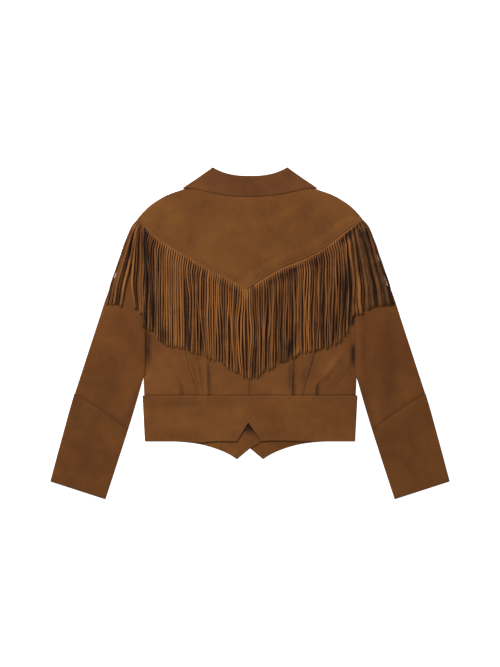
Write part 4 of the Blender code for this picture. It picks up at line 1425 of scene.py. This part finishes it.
def cut_strands(side):
    """The strands of one side, from the yoke's point out to its tip."""
    chance = random.Random(FRINGE_SEED[side])
    hanging = hanging_strands(side, chance)
    every = hanging + list(FAN[side])
    roots = [strand.root_x for strand in every]
    roots = [roots[0]] + roots + [roots[-1] + 0.4]
    strands = []
    for index, strand in enumerate(every):
        in_fan = index >= len(hanging)
        calm = FAN_CALM if in_fan else strand_calm[side](strand.root_x)
        if strand is every[-1]:
            calm = LAST_STRAND_CALM
        root_width = (roots[index + 2] - roots[index]) / 2 * (1 - strand_slot[side](strand.root_x))
        strands.append(Strand(
            *strand,
            root_width=max(root_width, FAN_ROOT * in_fan),
            twist=chance.uniform(-1.0, 1.0) * (1 - 0.7 * calm),
            phase=chance.uniform(0.0, 6.28),
            slant=chance.uniform(-0.35, 0.35),
            calm=calm,
            pull=None if in_fan else strand.middle_x,
        ))
    return strands


def strand_middle(side, index, strand, share):
    """The middle of a strand in plan at a share of its length."""
    root_y = yoke_edge(side * strand.root_x) - header_drop(side, strand.root_x)
    y = mix(root_y, strand.end_y, share)
    if strand.pull is None:
        start = fan_outline(root_y) - strand.root_x
        middle = fan_outline(mix(root_y, strand.end_y, 0.5)) - strand.middle_x
        end = fan_outline(strand.end_y) - strand.end_x
        inside = start * (1 - share) * (1 - 2 * share) + 4 * middle * share * (1 - share)
        inside += end * share * (2 * share - 1)
        x = fan_outline(y) - inside
        loose = FAN_SWAY[side] * ease(3.0, 12.0, inside)
    else:
        lean = 6.0 * (yoke_rise(side, strand.root_x) / RISE_RUN)
        lean = lean * ease(0.0, 26.0, root_y - y) * ease(8.0, 70.0, strand.root_x)
        x = mix(strand.root_x + lean, strand.end_x, ease(0.0, 0.9, share))
        x += strand.pull * ease(0.02, 0.6, share)
        loose = 1.0
    clump = CLUMP_SWAY * drift(0.26 * index, 1.1 * share, 3.0 + side)
    wave = STRAND_SWAY * drift(1.9 * index, 2.8 * share, 8.0 + side)
    x += (clump + wave) * (1 - 0.8 * strand.calm) * ease(0.0, 0.45, share) * loose
    return Vector((x, y))


def header_point(side, index, strand, across, share):
    """A point of the uncut strip, from under the yoke down to the roots of its strands."""
    length = shoulder(min(strand.root_x, YOKE_END_X)) - yoke_edge(side * strand.root_x)
    tucked = ease(10.0, 50.0, length)
    odd_in_fan = (index % 2) * (strand.root_x > FAN[side][0].root_x)
    x = strand.root_x + across * (strand.root_width / 2)
    under = mix(TUCKED_AT_TIP, TUCKED_STRIP, tucked)
    y = yoke_edge(side * x) + mix(under, -header_drop(side, strand.root_x), share)
    z = STRIP_TOP + 0.3 * odd_in_fan - 1.6 * (1 - tucked) * (1 - share)
    # Darker on every other strand in the fan, and painted shade just below the yoke's edge.
    return side * x, y, z, -0.24 * odd_in_fan - 0.1 * (1 - share)


def strand_tones(side, index, strand, across, share, place, drop, is_end):
    """How light a strand is at a point: patchy, with painted shade at its edges and where it lies low,
    painted light and shade on bunches, lighter at its tip, and near the fan's roots lighter with every
    other strand darker.
    """
    in_fan = strand.pull is None
    patch = drift(0.5 * index, 2.2 * share, 50.0 + side)
    tone = strand.tone + STRAND_PATCHES[side] * patch * (1 - 0.6 * strand.calm)
    tone -= (FAN_EDGE_SHADE if in_fan else STRAND_EDGE_SHADE[side]) * abs(across)
    tone -= LOW_STRAND_SHADE * ease(1.6, 0.0, strand.level) - 0.06 * is_end
    tone += relief(FRINGE_PAINTED_LIGHT_AND_SHADE, side * place.x, place.y)
    if not in_fan:
        return tone * ease(0.0, 8.0, drop)
    tone += (FAN_ROOT_TONE[side] - 0.4 * (index % 2)) * ease(46.0, 10.0, drop)
    return tone * ease(0.0, 2.5, drop)


def strand_point(side, index, strand, across, share, is_end):
    """A point of a strand, turned about the strand's middle as it hangs."""
    spot = strand_middle(side, index, strand, share)
    before = strand_middle(side, index, strand, max(share - 0.03, 0.0))
    after = strand_middle(side, index, strand, min(share + 0.03, 1.0))
    run = (after - before).normalized()
    seam = Vector((RISE_RUN, yoke_rise(side, strand.root_x)))
    drop = strand_middle(side, index, strand, 0.0).y - spot.y
    level_way = seam.normalized().lerp(Vector((-run.y, run.x)), ease(0.0, 12.0, drop)).normalized()
    turn = strand.twist * math.sin(2.2 * share + strand.phase)
    turn += 0.6 * (1 - 0.5 * strand.calm) * drift(2.3 * index, 3.5 * share, 21.0 + side)
    turn *= ease(0.0, 22.0, drop)
    widened = ease(0.0, 14.0 if strand.pull is None else 30.0, drop)
    half = mix(strand.root_width, strand.width, widened) / 2
    place = spot + level_way * across * half * math.cos(turn)
    if is_end:
        place.y += strand.slant * across * half
    settled = 1 - 0.6 * ease(0.6, 1.0, share)
    lying = BACK_TOP + 2 * STRAND_WALL + settled * LEVEL_STEP * strand.level
    lying += half * abs(math.sin(turn))
    lying += 0.7 * drift(0.7 * index, 2.0 * share, 30.0 + side)
    high = mix(STRIP_TOP, lying, ease(0.0, 24.0, drop))
    high += across * half * math.sin(turn) + STRAND_CROWN * (across == 0)
    tone = strand_tones(side, index, strand, across, share, place, drop, is_end)
    return side * place.x, place.y, high, tone


def fringe_cloth(side):
    """A strip under one side of the yoke's edge, with its strands cut from its lower part.
    Each strand is three columns of points, and the faces between two strands are cut away."""
    strands = cut_strands(side)
    rows = HEADER_ROWS + STRAND_ROWS

    def is_gap(column, row):
        return column % 3 == 2 and row < STRAND_ROWS

    def surface(column, row):
        index, across = column // 3, column % 3 - 1
        down = rows - row
        if down <= HEADER_ROWS:
            return header_point(side, index, strands[index], across, down / HEADER_ROWS)
        share = ((down - HEADER_ROWS) / STRAND_ROWS) ** 1.25
        return strand_point(side, index, strands[index], across, share, down == rows)

    columns = 3 * len(strands) - 1
    return lay_grid(columns, rows, surface, face_down=side < 0, cut_away=is_gap)


# Sewing.


def on_cloth(x, y, z, *_):
    """A point of a row of stitches, a little above the cloth."""
    return Vector((x, y, z + STITCH_WIDTH / 4))


def sew_stitch(bm, start, end):
    """One stitch, a long bead from one point to another."""
    along = end - start
    turned = along.to_track_quat("X", "Z").to_matrix().to_4x4()
    shape = Matrix.Diagonal((along.length / 2, STITCH_WIDTH / 2, STITCH_WIDTH / 2.6, 1.0))
    place = Matrix.Scale(METRES, 4) @ Matrix.Translation((start + end) / 2)
    bmesh.ops.create_uvsphere(
        bm, u_segments=6, v_segments=4, radius=1.0, matrix=place @ turned @ shape
    )


def sewn_line(bm, points):
    """Lock stitches laid end to end along a line of points."""
    travelled, next_stop, start = 0.0, 0.0, None
    for here, after in zip(points, points[1:]):
        run = (after - here).length
        while run and next_stop <= travelled + run:
            spot = here.lerp(after, (next_stop - travelled) / run)
            if start is None:
                start = spot
                next_stop += STITCH_LENGTH
            else:
                sew_stitch(bm, start, spot)
                start = None
                next_stop += STITCH_SPACE
        travelled += run


def sewing(name, lines):
    """The stitches of some seams, as one piece."""
    bm = bmesh.new()
    for line in lines:
        sewn_line(bm, line)
    colour = bpy.context.scene.jacket_colours.thread
    return finish_piece(name, bm, thread(f"{name}_thread", colour))


def yoke_seam():
    """The topstitching above the yoke's V edge, from one armhole to the other."""
    shares = (mix(-0.965, 0.965, step / 300) for step in range(301))
    return [[on_cloth(*yoke_spot(share, STITCH_INSET)) for share in shares]]


def princess_row(side, way):
    """The row of topstitching inside (-1) or outside (1) a princess seam."""
    line = []
    for step in range(121):
        y = mix(WAIST_Y + 2.0, 70.0, step / 120)
        x = princess(y) + way * TOPSTITCH_OFFSET
        line.append(on_cloth(side * x, y, BACK_TOP + back_relief(side, x, y)[0]))
    return line


def band_seams():
    """Rows along the waistband's hem and its top edge."""
    hem, top = [], []
    for x in back_hem_places(218.0, 2.0):
        stop = BandStop(x, straight_line(BACK_HEM, x), BAND_TOP)
        hem_y = stop.hem_y + HEM_STITCH * math.hypot(1.0, back_hem_slope(x))
        for line, y in ((hem, hem_y), (top, BAND_SEAM_Y - BAND_TOP_STITCH)):
            line.append(on_cloth(x, y, BAND_TOP + band_relief(stop, y)[0]))
    return [hem, top]


# Studio.


def lay_floor():
    """The pale floor that the jacket lies on."""
    bm = bmesh.new()
    bmesh.ops.create_grid(bm, x_segments=1, y_segments=1, size=FLOOR_REACH)
    mesh_object("floor", bm, floor_paper("white_paper"))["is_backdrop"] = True


def light_room():
    """An even room that looks white to the camera, and two soft lights."""
    scene = bpy.context.scene
    world = bpy.data.worlds.new("room")
    world.use_nodes = True
    tree = world.node_tree
    room = tree.nodes["Background"]
    feed(tree, room, {"Color": ROOM_COLOUR, "Strength": ROOM_LIGHT})
    backdrop = add_node(tree, "ShaderNodeBackground", {"Color": WHITE})
    either = add_node(tree, "ShaderNodeMixShader", {
        "Fac": add_node(tree, "ShaderNodeLightPath", {}).outputs["Is Camera Ray"],
        1: room.outputs["Background"],
        2: backdrop.outputs["Background"],
    })
    feed(tree, tree.nodes["World Output"], {"Surface": either.outputs["Shader"]})
    scene.world = world

    for light in LIGHTS:
        data = bpy.data.lights.new(light.name, "AREA")
        data.shape = "DISK"
        data.size = light.size
        data.energy = light.power
        lamp = bpy.data.objects.new(light.name, data)
        lamp.location = light.place
        lamp.rotation_euler = (-Vector(light.place)).to_track_quat("-Z", "Y").to_euler()
        scene.collection.objects.link(lamp)


def set_camera():
    """The camera straight above the jacket."""
    scene = bpy.context.scene
    camera = bpy.data.cameras.new("camera")
    camera.sensor_width = SENSOR
    camera.lens = SENSOR * CAMERA_HEIGHT / FRAME_HEIGHT
    scene.camera = bpy.data.objects.new("camera", camera)
    scene.camera.location = (0.0, 0.0, CAMERA_HEIGHT + BACK_TOP * METRES)
    scene.collection.objects.link(scene.camera)


def set_studio():
    """The floor, the lights and the camera, with colours shown as they are."""
    bpy.context.scene.view_settings.view_transform = "Standard"
    lay_floor()
    light_room()
    set_camera()


# The add-on's settings.


def length_setting(name, description, default):
    return bpy.props.FloatProperty(
        name=name, description=description, default=default, min=0.0005, unit="LENGTH"
    )


def colour_setting(name, description, default):
    return bpy.props.FloatVectorProperty(
        name=name, description=description, default=default, subtype="COLOR", min=0.0, max=1.0
    )


class JacketSizes(bpy.types.PropertyGroup):
    """The sizes that a maker would change."""

    cloth_wall: length_setting("Suede", "Thickness of the body and yoke suede", 0.0015)
    sleeve_wall: length_setting("Sleeve suede", "Thickness of the sleeves' suede", 0.0011)
    collar_wall: length_setting("Collar suede", "Thickness of the collar's suede", 0.0014)
    band_wall: length_setting("Waistband", "Thickness of the doubled waistband", 0.0021)
    strand_wall: length_setting("Strand", "Thickness of the fringe's strands", 0.0012)


class JacketColours(bpy.types.PropertyGroup):
    """The colour of each piece's suede and of the thread."""

    yoke_suede: colour_setting("Yoke", "Suede of the back yoke", (0.1706, 0.0626, 0.0152))
    collar_suede: colour_setting("Collar", "Suede of the collar", (0.1329, 0.0465, 0.0141))
    back_suede: colour_setting("Back", "Suede of the centre back panels", (0.1583, 0.0560, 0.0149))
    side_suede: colour_setting("Sides", "Suede of the side back panels", (0.1650, 0.0578, 0.0150))
    front_suede: colour_setting("Fronts", "Suede of the fronts", (0.1238, 0.0418, 0.0111))
    band_suede: colour_setting("Waistband", "Suede of the waistband", (0.1674, 0.0600, 0.0149))
    sleeve_suede: colour_setting("Sleeves", "Suede of the sleeves", (0.1440, 0.0492, 0.0124))
    cuff_suede: colour_setting("Cuffs", "Suede of the cuffs", (0.1358, 0.0468, 0.0114))
    fringe_suede: colour_setting("Fringe", "Suede of the fringe", (0.2852, 0.1062, 0.0277))
    thread: colour_setting("Thread", "Sewing thread", (0.20, 0.085, 0.026))


class JACKET_OT_stage(bpy.types.Operator):
    """Set the pale floor, the soft lights and the camera straight above"""

    bl_idname = "jacket.stage"
    bl_label = "Studio"
    bl_options = {"REGISTER", "UNDO"}

    def execute(self, context):
        set_studio()
        return {"FINISHED"}


class JACKET_OT_yoke(bpy.types.Operator):
    """Lay the back yoke, with its turned V edge"""

    bl_idname = "jacket.yoke"
    bl_label = "Yoke"
    bl_options = {"REGISTER", "UNDO"}

    def execute(self, context):
        lay_cloth("yoke", yoke_panel(), seams=yoke_seam())
        return {"FINISHED"}


class JACKET_OT_collar(bpy.types.Operator):
    """Fold the collar over its stand"""

    bl_idname = "jacket.collar"
    bl_label = "Collar"
    bl_options = {"REGISTER", "UNDO"}

    def execute(self, context):
        grid, leaf_seam = collar_cloth()
        lay_cloth("collar", grid, seams=[leaf_seam])
        return {"FINISHED"}


class JACKET_OT_back(bpy.types.Operator):
    """Lay the back and side back panels, with their tucks and princess seams"""

    bl_idname = "jacket.back"
    bl_label = "Back panels"
    bl_options = {"REGISTER", "UNDO"}

    def execute(self, context):
        for side in SIDES:
            lay_cloth("back", back_panel(side), side, [princess_row(side, -1)])
            lay_cloth("side_back", side_panel(side), side, [princess_row(side, 1)])
        return {"FINISHED"}


class JACKET_OT_fronts(bpy.types.Operator):
    """Lay the two fronts face down, the left one over the right"""

    bl_idname = "jacket.fronts"
    bl_label = "Fronts"
    bl_options = {"REGISTER", "UNDO"}

    def execute(self, context):
        for side in SIDES:
            lay_cloth("front", front_panel(side), side)
        return {"FINISHED"}


class JACKET_OT_sleeves(bpy.types.Operator):
    """Lay both flattened sleeves down to their slanted cuff seams"""

    bl_idname = "jacket.sleeves"
    bl_label = "Sleeves"
    bl_options = {"REGISTER", "UNDO"}

    def execute(self, context):
        for side in SIDES:
            lay_cloth("sleeve", sleeve_tube(side, UPPER_SLEEVE)[0], side)
        return {"FINISHED"}


class JACKET_OT_cuffs(bpy.types.Operator):
    """Lay both lower sleeves, from the slanted seam to the hem"""

    bl_idname = "jacket.cuffs"
    bl_label = "Cuffs"
    bl_options = {"REGISTER", "UNDO"}

    def execute(self, context):
        for side in SIDES:
            grid, seams = sleeve_tube(side, LOWER_SLEEVE)
            lay_cloth("cuff", grid, side, seams)
        return {"FINISHED"}


class JACKET_OT_waistband(bpy.types.Operator):
    """Lay the waistband with its notched back and pointed fronts"""

    bl_idname = "jacket.waistband"
    bl_label = "Waistband"
    bl_options = {"REGISTER", "UNDO"}

    def execute(self, context):
        lay_cloth("waistband", waistband_panel(), seams=band_seams())
        return {"FINISHED"}


class JACKET_OT_fringe(bpy.types.Operator):
    """Hang the cut fringe from both sides of the yoke's V edge"""

    bl_idname = "jacket.fringe"
    bl_label = "Fringe"
    bl_options = {"REGISTER", "UNDO"}

    def execute(self, context):
        for side in SIDES:
            lay_cloth("fringe", fringe_cloth(side), side)
        return {"FINISHED"}


MAKERS = (
    JACKET_OT_stage,
    JACKET_OT_yoke,
    JACKET_OT_collar,
    JACKET_OT_back,
    JACKET_OT_fronts,
    JACKET_OT_sleeves,
    JACKET_OT_cuffs,
    JACKET_OT_waistband,
    JACKET_OT_fringe,
)


class JACKET_PT_pieces(bpy.types.Panel):
    """The jacket's settings and the steps that make it"""

    bl_label = "Fringed suede jacket"
    bl_idname = "JACKET_PT_pieces"
    bl_space_type = "VIEW_3D"
    bl_region_type = "UI"
    bl_category = "Jacket"

    def draw(self, context):
        for group in (context.scene.jacket_sizes, context.scene.jacket_colours):
            for name in group.__annotations__:
                self.layout.prop(group, name)
        for maker in MAKERS:
            self.layout.operator(maker.bl_idname)


CLASSES = (JacketSizes, JacketColours, *MAKERS, JACKET_PT_pieces)


def register():
    for item in CLASSES:
        bpy.utils.register_class(item)
    bpy.types.Scene.jacket_sizes = bpy.props.PointerProperty(type=JacketSizes)
    bpy.types.Scene.jacket_colours = bpy.props.PointerProperty(type=JacketColours)


def unregister():
    del bpy.types.Scene.jacket_colours
    del bpy.types.Scene.jacket_sizes
    for item in reversed(CLASSES):
        bpy.utils.unregister_class(item)


def main():
    register()
    for maker in MAKERS:
        family, step = maker.bl_idname.split(".")
        getattr(getattr(bpy.ops, family), step)()
    sizes = {"cad": CAD_BOX, "visual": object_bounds()}
    sizes = {name: [list(corner) for corner in box] for name, box in sizes.items()}


if __name__ == "__main__":
    main()
